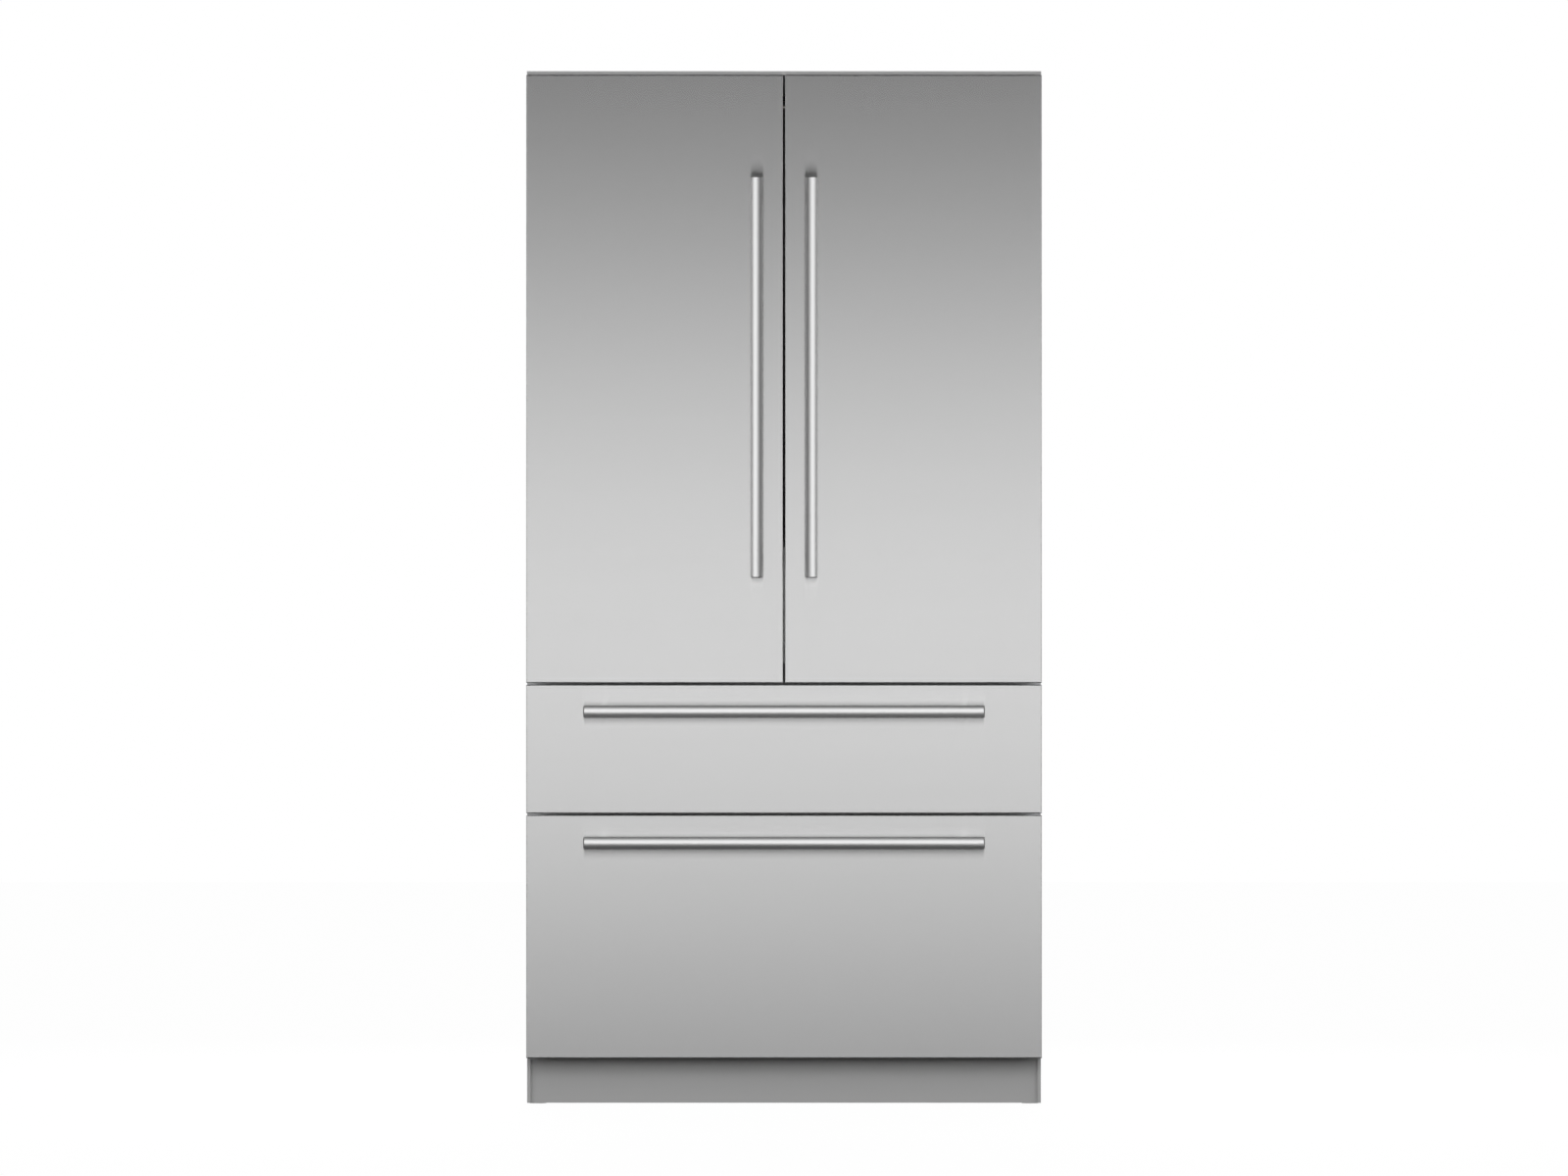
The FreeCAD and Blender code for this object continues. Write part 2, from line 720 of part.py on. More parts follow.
def make_toe_kick():
    """Recessed plate between two returns, folded from one sheet."""
    body = new_body("toe_kick")
    inner = "(Place.half_shell - Size.kick_return)"
    outline = [
        (f"-{inner}", "Place.frame_back - Size.kick_plate"),
        (f"{inner}", "Place.frame_back - Size.kick_plate"),
        (f"{inner}", "Place.kick_front"),
        ("Place.half_shell", "Place.kick_front"),
        ("Place.half_shell", "Place.frame_back"),
        ("-Place.half_shell", "Place.frame_back"),
        ("-Place.half_shell", "Place.kick_front"),
        (f"-{inner}", "Place.kick_front"),
    ]
    pad(body, "XY", [outline], "Size.kick_clear", "Size.kick_height - Size.kick_clear")


def make_compressor():
    """Welded compressor can on a foot plate with four rubber grommets."""
    body = new_body("compressor")
    x, y = "Size.compressor_side", "Place.machine_y"
    plate = "Place.pan_top + Size.grommet_tall"
    wide = "Size.compressor_radius + Size.footing_margin"
    narrow = "Size.compressor_radius - Size.footing_inset"
    can_top = f"{plate} + Size.compressor_tall"
    grommets = []
    for side in (-1, 1):
        for end in (-1, 1):
            grommets.append(circle(f"{x} + {side} * (Size.compressor_radius + Size.grommet_out)",
                                   f"{y} + {end} * (Size.compressor_radius - Size.grommet_in)",
                                   "Size.grommet_radius"))
    pad(body, "XY", [circle(x, y, "Size.compressor_radius")], plate, can_top)
    fillet(body, "Size.can_round", edges_at("z", plate, can_top))
    footing = rectangle(f"{x} - ({wide})", f"{y} - ({narrow})", f"{x} + {wide}", f"{y} + {narrow}")
    pad(body, "XY", [footing], plate, f"{plate} + Size.footing_sheet")
    pad(body, "XY", grommets, "Place.pan_top", plate)
    terminal = rectangle(f"{x} + Size.compressor_radius - Size.terminal_sink", f"{y} - Size.terminal_half",
                         f"{x} + Size.compressor_radius + Size.terminal_deep",
                         f"{y} + Size.terminal_half")
    terminal_low = f"{plate} + Size.terminal_low"
    pad(body, "XY", [terminal], terminal_low, f"{terminal_low} + Size.terminal_tall")


def make_condenser_shroud():
    """Fan plate standing on the pan, with its motor on two arms across the opening."""
    body = new_body("condenser_shroud")
    left, right = "-Size.cooler_side", "-Size.cooler_side + Size.shroud_sheet"
    y, z = "Place.machine_y", "Place.cooler_z"
    plate = rectangle(f"{y} - Size.shroud_half", "Place.pan_top",
                      f"{y} + Size.shroud_half", f"{z} + Size.shroud_half")
    mouth = circle(y, z, "Size.cooler_radius + Size.mouth_play")
    pad(body, "YZ", [plate, mouth], left, right)
    for arm in (rectangle(f"{y} - Size.shroud_half", f"{z} - Size.arm_half",
                          f"{y} + Size.shroud_half", f"{z} + Size.arm_half"),
                rectangle(f"{y} - Size.arm_half", "Place.pan_top",
                          f"{y} + Size.arm_half", f"{z} + Size.shroud_half")):
        pad(body, "YZ", [arm], right, f"{right} + Size.arm_thick")
    pad(body, "YZ", [circle(y, z, "Size.motor_radius")], right, f"{right} + Size.motor_long")
    pad(body, "YZ", [circle(y, z, "Size.fan_pin")], f"{left} - Size.pin_reach", right)


def make_fan(label, radius, centre, turn):
    """Twisted blades on a bored hub, made about its own Y axis and then placed."""
    body = new_body(label)
    hub = f"{radius} * 0.3"
    pad(body, "XZ", [circle("0", "0", hub)], "0", "Size.fan_deep")
    doc.recompute()
    sections = []
    low, high = "Size.blade_edge", "Size.fan_deep - Size.blade_edge"
    for reach, which in ((f"{hub} * 0.8", "root"), (radius, "tip")):
        lean, thick = f"Size.blade_{which}_lean", f"Size.blade_{which}_thick"
        outline = [(f"-{lean} - {thick}", low), (f"-{lean} + {thick}", low),
                   (f"{lean} + {thick}", high), (f"{lean} - {thick}", high)]
        sections.append(draw(body, "XY", reach, [outline]))
    blade = body.newObject("PartDesign::AdditiveLoft", f"{label}_blade")
    blade.Profile = sections[0]
    blade.Sections = sections[1:]
    blade.Ruled = True
    doc.recompute()
    ring = body.newObject("PartDesign::PolarPattern", f"{label}_blades")
    ring.Originals = [blade]
    ring.Axis = (origin_feature(body, "Y_Axis"), [""])
    ring.Angle = 360
    ring.Occurrences = FAN_BLADES
    body.Tip = ring
    doc.recompute()
    pocket(body, "XZ", [circle("0", "0", "Size.fan_pin + Size.pin_play")], "0", "Size.fan_deep")
    body.Placement = FreeCAD.Placement(Vector(0, 0, 0), turn)
    for letter, expression in zip("xyz", centre):
        body.setExpression(f".Placement.Base.{letter}", expression)


def make_finned_coil(label, start, end, middle, rows, base, supports):
    """A serpentine tube through a stack of fins, made at the origin and then placed.

    The runs go along X, one above another, and the end fins reach back to the supports.
    """
    radius = number("Size.tube_radius")
    pitch = number("Size.tube_pitch")
    fin = number("Size.fin_thick")
    step = number("Size.fin_pitch")
    half = number("Size.fin_half")
    span = number(f"({end}) - ({start})")
    far = number(f"({supports}) - ({middle})")
    heights = [pitch * (row + COIL_END) for row in range(rows)]
    top = heights[-1] + pitch * COIL_END
    pieces = []
    count = int((span - 2 * radius) // step)
    first = (span - count * step) / 2
    for index in range(count + 1):
        ends = index in (0, count)
        back = far if ends else half
        low = 0 if ends else radius
        corner = Vector(first + index * step - fin / 2, -half, low)
        pieces.append(Part.makeBox(fin, back + half, top - low, corner))
    for height in heights:
        pieces.append(Part.makeCylinder(radius, span, Vector(0, 0, height), Vector(1, 0, 0)))
    for index, (low, high) in enumerate(zip(heights, heights[1:])):
        outward = index % 2 == 0
        at = span if outward else 0
        ring = Part.makeCircle(radius, Vector(at, 0, low), Vector(1, 0, 0))
        profile = Part.Face(Part.Wire(ring))
        axis = Vector(0, -1, 0) if outward else Vector(0, 1, 0)
        pieces.append(profile.revolve(Vector(at, 0, (low + high) / 2), axis, 180))
    coil = doc.addObject("Part::Feature", label)
    coil.Label = label
    coil.Shape = pieces[0].multiFuse(pieces[1:]).removeSplitter()
    for letter, expression in zip("xyz", (start, middle, base)):
        coil.setExpression(f".Placement.Base.{letter}", expression)
    bodies.append(coil)


# ---------------------------------------------------------------- inside the fridge

def make_shelves():
    """Two glass shelves on the liner ledges, and the glass over the crispers."""
    half = "Place.liner_half - Size.shelf_play"
    for label, height in (("shelf_lower", "Place.shelf_lower_z"), ("shelf_upper", "Place.shelf_upper_z")):
        body = new_body(label)
        block(body, (f"-({half})", half), ("Place.shelf_front", "Place.shelf_back"),
              (height, f"{height} + Size.glass"))
        fillet(body, "Size.glass_round", straight("x", y_below="Place.shelf_front + 1"))
    body = new_body("crisper_cover")
    block(body, (f"-({half})", half), ("Place.shelf_front", "Place.shelf_back"),
          ("Place.cover_z", "Place.cover_z + Size.glass"))
    block(body, ("-Size.cover_post / 2", "Size.cover_post / 2"),
          ("Place.shelf_front + Size.post_setback", "Place.shelf_back"),
          ("Place.fridge_deck", "Place.cover_z"))


def make_air_duct():
    """Stepped cover over the cooling coil and its fan, with outlet slots up the front."""
    body = new_body("air_duct")
    lower = [
        ("Place.duct_front", "Place.fridge_deck"),
        ("Place.liner_back", "Place.fridge_deck"),
        ("Place.liner_back", "Place.duct_step"),
        ("Place.duct_front", "Place.duct_step - Size.duct_deep / 3"),
    ]
    pad(body, "YZ", [lower], "-Size.duct_half", "Size.duct_half")
    upper = rectangle("-Size.duct_upper_half", "Place.duct_step - Size.duct_deep",
                      "Size.duct_upper_half", "Place.fridge_ceiling - Size.duct_top_gap")
    pad(body, "XZ", [upper], "Place.duct_upper_front", "Place.liner_back")
    fillet(body, "Size.duct_round", straight("z", y_below="Place.duct_front + 1"))
    shell(body, "Size.duct_wall", facing((0, 1, 0)))
    slots = []
    for column in (-1, 1):
        for row in range(OUTLET_ROWS):
            for height in ("Place.shelf_lower_z", "Place.shelf_upper_z"):
                left = f"{column} * Size.slot_side - Size.slot_wide / 2"
                low = f"{height} + Size.slot_up + {row} * Size.slot_pitch"
                slots.append(rectangle(left, low, f"{left} + Size.slot_wide", f"{low} + Size.slot_tall"))
    pocket(body, "XZ", slots, "Place.duct_upper_front - 1", "Place.duct_upper_front + Size.duct_wall")
    inlets = []
    for row in range(1, INLET_ROWS + 1):
        low = f"Place.fridge_deck + {row} * Size.slot_pitch"
        inlets.append(rectangle("-Size.slot_wide", low, "Size.slot_wide", f"{low} + Size.slot_tall"))
    pocket(body, "XZ", inlets, "Place.duct_front - 1", "Place.duct_front + Size.duct_wall")
    pin = circle("0", "Place.fan_z", "Size.fan_pin")
    pad(body, "XZ", [pin], "Place.duct_front + Size.duct_wall / 2", "Place.duct_front + Size.fan_post")


def make_control_panel():
    """Touch panel and lamp housing under the ceiling of the fridge."""
    body = new_body("control_panel")
    low = "Place.fridge_ceiling - Size.control_tall"
    outline = [
        ("Place.control_front", "Place.fridge_ceiling"),
        ("Place.control_front + Size.control_tall", low),
        ("Place.control_front + Size.control_deep", low),
        ("Place.control_front + Size.control_deep", "Place.fridge_ceiling"),
    ]
    pad(body, "YZ", [outline], "-Size.control_half", "Size.control_half")


def make_crispers():
    """Two pull-out bins on the fridge floor with a turned-over front grip."""
    for label, side in (("crisper_left", -1), ("crisper_right", 1)):
        body = new_body(label)
        low = "Place.fridge_deck + Size.crisper_play"
        high = "Place.cover_z - Size.ledge_tall - Size.crisper_top_gap"
        inner = f"{side} * Size.crisper_middle"
        outer = f"{side} * (Place.liner_half - Size.crisper_side)"
        back = "Place.shelf_back - Size.crisper_back_gap"
        block(body, (inner, outer), ("Place.crisper_front + Size.crisper_lip", back), (low, high))
        fillet(body, "Size.crisper_round", straight("x", z_below=f"{low} + 1"))
        shell(body, "Size.crisper_wall", facing((0, 0, 1)))
        lip = [
            ("Place.crisper_front", f"{high} - Size.grip_tall"),
            ("Place.crisper_front + Size.crisper_wall", f"{high} - Size.grip_tall"),
            ("Place.crisper_front + Size.crisper_wall", f"{high} - Size.crisper_wall"),
            ("Place.crisper_front + Size.crisper_lip", f"{high} - Size.crisper_wall"),
            ("Place.crisper_front + Size.crisper_lip", high),
            ("Place.crisper_front", high),
        ]
        span = (inner, outer) if side > 0 else (outer, inner)
        pad(body, "YZ", [lip], span[0], span[1])


# ---------------------------------------------------------------- fronts

def make_panel(label, across, upward):
    """Steel pan open at the back; a soft fold round its face."""
    body = new_body(label)
    outline = rectangle(across[0], upward[0], across[1], upward[1])
    pad(body, "XZ", [outline], "Place.panel_front", "Place.panel_back")
    fillet(body, "Size.panel_round", edges_at("y", "Place.panel_front"))
    shell(body, "Size.panel_sheet", facing((0, 1, 0)))


def inset(across, upward, side, end):
    """The same rectangle drawn in by two expressions; across runs from low to high."""
    return rectangle(f"{across[0]} + {side}", f"{upward[0]} + {end}",
                     f"{across[1]} - ({side})", f"{upward[1]} - ({end})")


def make_core(label, across, upward):
    """Foamed slab behind a panel, with a nose that fills the pan."""
    body = new_body(label)
    slab = inset(across, upward, "Size.core_side", "Size.core_end")
    nose = inset(across, upward, "Size.panel_sheet", "Size.panel_sheet")
    pad(body, "XZ", [slab], "Place.panel_back", "Place.core_back")
    fillet(body, "Size.core_round", edges_at("y", "Place.core_back"))
    pad(body, "XZ", [nose], "Place.panel_front + Size.nose_back", "Place.panel_back")
    return body


def make_gasket(label, across, upward):
    """Magnetic seal round the back of a core."""
    body = new_body(label)
    side = "(Size.core_side + Size.seal_inset)"
    end = "(Size.core_end + Size.seal_inset)"
    outer = inset(across, upward, side, end)
    inner = inset(across, upward, f"({side} + Size.seal_width)", f"({end} + Size.seal_width)")
    pad(body, "XZ", [outer, inner], "Place.core_back", "Place.frame_front - Size.seal_play")
    fillet(body, "Size.seal_round", edges_at("y", "Place.frame_front - Size.seal_play"))


def make_handle(label, upright, across, low):
    """Round bar with bevelled ends on two posts that stand on the panel face."""
    body = new_body(label)
    high = f"{low} + Size.bar_length"
    radius = "Size.bar_diameter / 2"
    if upright:
        pad(body, "XY", [circle(across, "Place.bar_y", radius)], low, high)
        chamfer(body, "Size.bar_chamfer", edges_at("z", low, high))
        posts = [(across, f"{low} + Size.post_inset"), (across, f"{high} - Size.post_inset")]
    else:
        pad(body, "YZ", [circle("Place.bar_y", across, radius)], low, high)
        chamfer(body, "Size.bar_chamfer", edges_at("x", low, high))
        posts = [(f"{low} + Size.post_inset", across), (f"{high} - Size.post_inset", across)]
    rings = [circle(x, z, "Size.post_diameter / 2") for x, z in posts]
    pad(body, "XZ", rings, "Place.bar_y", "Place.panel_front")


def door_span(side):
    """A door's two edges across the width, from low to high."""
    middle = f"{side} * Size.panel_gap / 2"
    edge = f"{side} * Place.half_panel"
    return (middle, edge) if side > 0 else (edge, middle)


def make_door(name, side):
    """Panel, core with rim and pin bores, gasket, three racks and a handle."""
    across = door_span(side)
    upward = ("Place.door_bottom", "Place.door_top")
    make_panel(f"{name}_panel", across, upward)
    core = make_core(f"{name}_core", across, upward)
    outer, middle = f"{side} * Place.rim_outer", f"{side} * Size.rim_middle"
    inner_outer = f"{side} * (Place.rim_outer - Size.rim_wall)"
    inner_middle = f"{side} * (Size.rim_middle + Size.rim_wall)"
    rim = rectangle(outer, "Place.rim_bottom", middle, "Place.rim_top")
    tub = rectangle(inner_outer, "Place.rim_bottom + Size.rim_wall",
                    inner_middle, "Place.rim_top - Size.rim_wall")
    pad(core, "XZ", [rim, tub], "Place.core_back", "Place.rim_back")
    fillet(core, "Size.core_round", edges_at("y", "Place.rim_back"))
    pin = circle(f"{side} * Place.pivot_x", "Place.pivot_y", "Size.pin_radius + Size.pin_play")
    deep = "Size.pin_length + Size.bore_extra"
    pocket(core, "XY", [pin], "Place.door_core_bottom", f"Place.door_core_bottom + {deep}")
    pocket(core, "XY", [pin], f"Place.door_core_top - ({deep})", "Place.door_core_top")
    if side < 0:
        outer_side = "Place.flap_x - Size.ear_half"
        inner_side = "Place.flap_x + Size.ear_half"
        rear_side = "Place.flap_y + Size.ear_back"
        ear = [
            (outer_side, "Place.core_back"), ("-Place.seal_middle", "Place.core_back"),
            ("-Place.seal_middle", "Place.frame_front"), (inner_side, "Place.frame_front"),
            (inner_side, rear_side), (outer_side, rear_side),
        ]
        bore = circle("Place.flap_x", "Place.flap_y", "Size.flap_pin + Size.pin_play")
        play = "Size.hinge_play / 2"
        pad(core, "XY", [ear, bore], f"Place.flap_top + {play}", f"Place.flap_top + {play} + Size.ear_thick")
        pad(core, "XY", [ear, bore], f"Place.flap_bottom - {play} - Size.ear_thick",
            f"Place.flap_bottom - {play}")
    make_gasket(f"{name}_gasket", across, upward)
    for step, which in enumerate(("lower", "middle", "upper")):
        make_rack(f"{name}_rack_{which}", side, step)
    make_handle(f"{name}_handle", True, f"{side} * Size.handle_side",
                "Place.door_bottom + Size.handle_low")


def make_rack(label, side, step):
    """Clear open-topped rack between the two sides of a door's rim."""
    body = new_body(label)
    low = f"Place.fridge_bottom + Size.rack_first + {step} * Size.rack_pitch"
    front = "Place.core_back + Size.rack_depth"
    outline = [
        ("Place.core_back", low),
        (f"{front} - Size.rack_slant", low),
        (front, f"{low} + Size.rack_height - Size.rack_slant * 2"),
        ("Place.core_back", f"{low} + Size.rack_height"),
    ]
    outer = f"{side} * (Place.rim_outer - Size.rim_wall - Size.rack_side)"
    inner = f"{side} * (Size.rim_middle + Size.rim_wall + Size.rack_side)"
    span = (inner, outer) if side > 0 else (outer, inner)
    pad(body, "YZ", [outline], span[0], span[1])
    fillet(body, "Size.rack_round", straight("x", z_below=f"{low} + 1"))
    shell(body, "Size.rack_wall", facing((0, 0.15, 1)))


def make_flap():
    """Folding mullion on the left door, stored folded back: it points into the cabinet."""
    body = new_body("mullion_flap")
    x, y = "Place.flap_x", "Place.flap_y"
    half = "Size.flap_thick / 2"
    reach = "2 * Size.flap_half - Size.flap_thick / 2"
    pad(body, "XY", [rectangle(f"{x} - {half}", y, f"{x} + {half}", f"{y} + {reach}")],
        "Place.flap_bottom", "Place.flap_top")
    pad(body, "XY", [circle(x, y, half)], "Place.flap_bottom", "Place.flap_top")
    fillet(body, "Size.flap_round", straight("z", y_above=f"{y} + {reach} - 1"))
    long_pin = "Size.flap_pin_long"
    pin = circle(x, y, "Size.flap_pin")
    pad(body, "XY", [pin], f"Place.flap_bottom - {long_pin}", "Place.flap_bottom")
    pad(body, "XY", [pin], "Place.flap_top", f"Place.flap_top + {long_pin}")


def make_hinges():
    """Bracket, screw flange and pin above and below each door."""
    spans = {
        "top_hinges": ("Place.door_core_top + Size.hinge_play + Size.hinge_rise", 1),
        "bottom_hinges": ("Place.door_core_bottom - Size.hinge_play - Size.hinge_plate", -1),
    }
    for label, (plate, way) in spans.items():
        body = new_body(label)
        arms, noses, flanges, pins = [], [], [], []
        for side in (-1, 1):
            pin_x = f"{side} * Place.pivot_x"
            outer = f"{side} * (Place.pivot_x + Size.hinge_edge)"
            inner = f"{side} * (Place.pivot_x - Size.hinge_arm)"
            arms.append([(outer, "Place.pivot_y"), (outer, "Place.frame_front"),
                         (inner, "Place.frame_front"), (f"{side} * (Place.pivot_x - Size.hinge_nose)",
                                                        "Place.pivot_y")])
            noses.append(circle(pin_x, "Place.pivot_y", "Size.hinge_nose"))
            pins.append(circle(pin_x, "Place.pivot_y", "Size.pin_radius"))
            far = f"{side} * (Place.pivot_x + Size.hinge_edge - Size.hinge_flange_wide)"
            flanges.append(rectangle(outer, "Place.frame_front - Size.hinge_flange",
                                     far, "Place.frame_front"))
        top = f"{plate} + Size.hinge_plate"
        pad(body, "XY", arms, plate, top)
        pad(body, "XY", noses, plate, top)
        if way > 0:
            pad(body, "XY", flanges, plate, f"{plate} + Size.hinge_flange_tall")
            pad(body, "XY", pins, "Place.door_core_top - Size.pin_length", plate)
        else:
            pad(body, "XY", flanges, f"{top} - Size.hinge_flange_tall", top)
            pad(body, "XY", pins, top, "Place.door_core_bottom + Size.pin_length")


# ---------------------------------------------------------------- drawers

def channel(side, web, lip, half, height):
    """A C section: web and lip are distances inside the liner wall, half its half height."""
    sheet = "Size.slide_sheet"
    x_web = f"{side} * (Place.liner_half - ({web}))"
    sign = "-" if number(web) < number(lip) else "+"
    x_inside = f"{side} * (Place.liner_half - ({web}) {sign} {sheet})"
    x_lip = f"{side} * (Place.liner_half - ({lip}))"
    up, down = f"{height} + {half}", f"{height} - ({half})"
    return [
        (x_web, down), (x_lip, down), (x_lip, f"{down} + {sheet}"), (x_inside, f"{down} + {sheet}"),
        (x_inside, f"{up} - {sheet}"), (x_lip, f"{up} - {sheet}"), (x_lip, up), (x_web, up),
    ]


def make_slides(name):
    """Telescoping slides of one drawer: cabinet, middle and drawer members, left and right."""
    height = f"Place.{name}_slide"
    nest = "(Size.slide_sheet + Size.slide_play)"
    outer_half = "Size.slide_tall / 2"
    middle_half = f"(Size.slide_tall / 2 - {nest})"
    inner_half = f"(Size.slide_tall / 2 - 2 * {nest})"
    edge = "Size.slide_thick - 2 * Size.slide_play"
    members = {
        "outers": ("0", edge, outer_half),
        "mids": (nest, edge, middle_half),
        "inners": ("Size.slide_thick", f"2 * {nest}", inner_half),
    }
    for member, (web, lip, half) in members.items():
        body = new_body(f"{name}_slide_{member}")
        loops = [channel(side, web, lip, half, height) for side in (-1, 1)]
        pad(body, "XZ", loops, "Place.slide_y", "Place.slide_end")


def make_drawer_bin(name):
    """Open-topped bin between the slides; the lower one steps over the machinery."""
    body = new_body(f"{name}_bin")
    low, high = f"Place.{name}_bin_bottom", f"Place.{name}_bin_top"
    if name == "lower":
        outline = [
            ("Place.core_back", low), ("Place.bin_step", low),
            ("Place.bin_step", "Place.bin_step_top"), ("Place.bin_back", "Place.bin_step_top"),
            ("Place.bin_back", high), ("Place.core_back", high),
        ]
    else:
        outline = rectangle("Place.core_back", low, "Place.bin_back", high)
    pad(body, "YZ", [outline], "-Place.bin_half", "Place.bin_half")
    fillet(body, "Size.bin_round", straight("x", z_below=f"{low} + 1"))
    shell(body, "Size.bin_wall", facing((0, 0, 1)) if name == "upper" else top_only(high))


def top_only(height):
    """Picks the upward face at one height."""
    upward = facing((0, 0, 1))
    return lambda face: upward(face) and abs(face.CenterOfMass.z - number(height)) < TOUCH


def make_drawer(name):
    """Panel, core, gasket, bin, slides and handle of one drawer."""
    across = ("-Place.half_panel", "Place.half_panel")
    upward = (f"Place.{name}_bottom", f"Place.{name}_top")
    make_panel(f"{name}_panel", across, upward)
    make_core(f"{name}_core", across, upward)
    make_gasket(f"{name}_gasket", across, upward)
    make_drawer_bin(name)
    make_slides(name)
    make_handle(f"{name}_handle", False, f"Place.{name}_handle", "-Size.bar_length / 2")


make_cabinet_shell()
make_insulation()
make_dividers()
make_fridge_liner()
make_drawer_liners()
make_face_frame()
make_rear_cover()
make_top_trim()
make_base_frame()
make_levelling_feet()
make_toe_kick()
make_compressor()
make_condenser_shroud()
make_fan("condenser_fan", "Size.cooler_radius",
         ("-Size.cooler_side - Size.fan_deep - Size.fan_gap", "Place.machine_y", "Place.cooler_z"),
         FreeCAD.Rotation(Vector(0, 0, 1), -90))
make_finned_coil("condenser", "-Size.cooler_side - Size.condenser_end",
                 "-Size.cooler_side - Size.condenser_start", "Place.machine_y", COIL_ROWS,
                 "Place.pan_top", "Place.machine_y + Size.fin_half")
make_finned_coil("evaporator", "-Size.duct_half + Size.coil_inset", "Size.duct_half - Size.coil_inset",
                 "Place.duct_front + Size.duct_deep / 2", COIL_ROWS,
                 "Place.fridge_deck + Size.duct_wall", "Place.liner_back")
make_shelves()
make_air_duct()
make_fan("evaporator_fan", "Size.fan_radius",
         ("0", "Place.duct_front + Size.fan_duct_gap", "Place.fan_z"), FreeCAD.Rotation())
make_control_panel()
make_crispers()
make_hinges()
for door_name, door_side in (("left", -1), ("right", 1)):
    make_door(door_name, door_side)
make_flap()
for drawer_name in ("upper", "lower"):
    make_drawer(drawer_name)

doc.recompute()
failed = [item.Label for item in doc.Objects if "Invalid" in item.State or "Error" in item.State]
for body in bodies:
    if body.Shape.isNull() or not body.Shape.isValid() or not body.Shape.Solids:
        failed.append(body.Label)
if failed:
    raise ValueError("failed: " + ", ".join(failed))
for body in bodies:
    body.Shape.exportStep(f"parts/{body.Label}.step")
    print(f"{body.Label}: {len(body.Shape.Solids)} solids, {body.Shape.Volume / 1000:.1f} cm3")
print(len(bodies), "nodes")
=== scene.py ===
# %% [markdown]
# A built-in refrigerator with two doors over two freezer drawers.
# The CAD model gives every main shape at its real place. This file adds what a CAD solid
# does not carry: metal, plastic, glass and rubber finishes, the small parts that a maker
# clips on or screws down, and a plain studio. Everything is in metres, in the CAD's frame:
# the front faces -Y, +Z is up and the floor is at zero.

import math

import bmesh
import bpy
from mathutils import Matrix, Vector


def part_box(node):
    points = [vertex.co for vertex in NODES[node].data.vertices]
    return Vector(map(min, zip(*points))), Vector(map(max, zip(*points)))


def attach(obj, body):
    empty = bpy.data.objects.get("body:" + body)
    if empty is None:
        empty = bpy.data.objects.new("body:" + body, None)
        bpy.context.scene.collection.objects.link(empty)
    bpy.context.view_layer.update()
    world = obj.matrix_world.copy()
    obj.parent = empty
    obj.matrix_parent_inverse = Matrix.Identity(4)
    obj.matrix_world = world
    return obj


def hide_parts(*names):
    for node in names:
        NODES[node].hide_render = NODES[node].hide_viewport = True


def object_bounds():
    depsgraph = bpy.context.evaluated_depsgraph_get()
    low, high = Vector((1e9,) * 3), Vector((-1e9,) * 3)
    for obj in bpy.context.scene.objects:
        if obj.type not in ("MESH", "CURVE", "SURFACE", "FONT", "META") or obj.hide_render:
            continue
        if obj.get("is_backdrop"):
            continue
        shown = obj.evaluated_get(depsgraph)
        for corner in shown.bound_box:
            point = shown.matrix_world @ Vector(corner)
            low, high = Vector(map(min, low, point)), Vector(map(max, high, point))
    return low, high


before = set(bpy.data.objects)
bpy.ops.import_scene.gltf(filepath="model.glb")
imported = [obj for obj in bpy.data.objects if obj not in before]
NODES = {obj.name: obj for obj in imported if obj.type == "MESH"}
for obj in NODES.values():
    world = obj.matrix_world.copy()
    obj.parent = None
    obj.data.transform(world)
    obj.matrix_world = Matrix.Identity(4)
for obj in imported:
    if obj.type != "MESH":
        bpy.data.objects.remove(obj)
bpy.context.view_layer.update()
MM = 0.001


def box_mm(node):
    """A CAD node's box at rest in millimetres: left, front, low, right, back, high."""
    low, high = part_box(node)
    return [round(v / MM, 3) for v in (*low, *high)]


# %% [markdown]
# The photograph shows the refrigerator straight from the front, with almost no perspective.
# A long lens far away gives that. The distance comes from how little smaller the recessed
# toe kick looks than the door faces, and the lens follows from the width that the frame
# covers at the door faces.

# %% Camera
IMAGE_WIDTH = 1600
MM_PER_PIXEL = 2.0152                        # at the door faces, from the cabinet's width
CAMERA_DISTANCE = 40.0
FLOOR_PIXEL, MIDDLE_PIXEL = 1127.24, 600.0   # rows of the floor line and of the frame's middle
door_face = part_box("left_panel")[0].y
camera_data = bpy.data.cameras.new("studio_camera")
camera = bpy.data.objects.new("studio_camera", camera_data)
bpy.context.scene.collection.objects.link(camera)
camera_data.sensor_width = 36.0
frame_width = IMAGE_WIDTH * MM_PER_PIXEL * MM
camera_data.lens = camera_data.sensor_width * CAMERA_DISTANCE / frame_width
camera_height = (FLOOR_PIXEL - MIDDLE_PIXEL) * MM_PER_PIXEL * MM
camera.location = (0.0, door_face - CAMERA_DISTANCE, camera_height)
camera.rotation_euler = (math.radians(90), 0.0, 0.0)
camera_data.clip_end = 100.0
bpy.context.scene.camera = camera
print("lens", round(camera_data.lens, 1), "camera", [round(v, 3) for v in camera.location])

# %% [markdown]
# A few small helpers serve the rest of the file. One starts a material with its Principled
# shader, one places a Math node, one lets the camera see another shader than the one that
# lights the scene, and one makes a mesh object at the origin from plain lists.

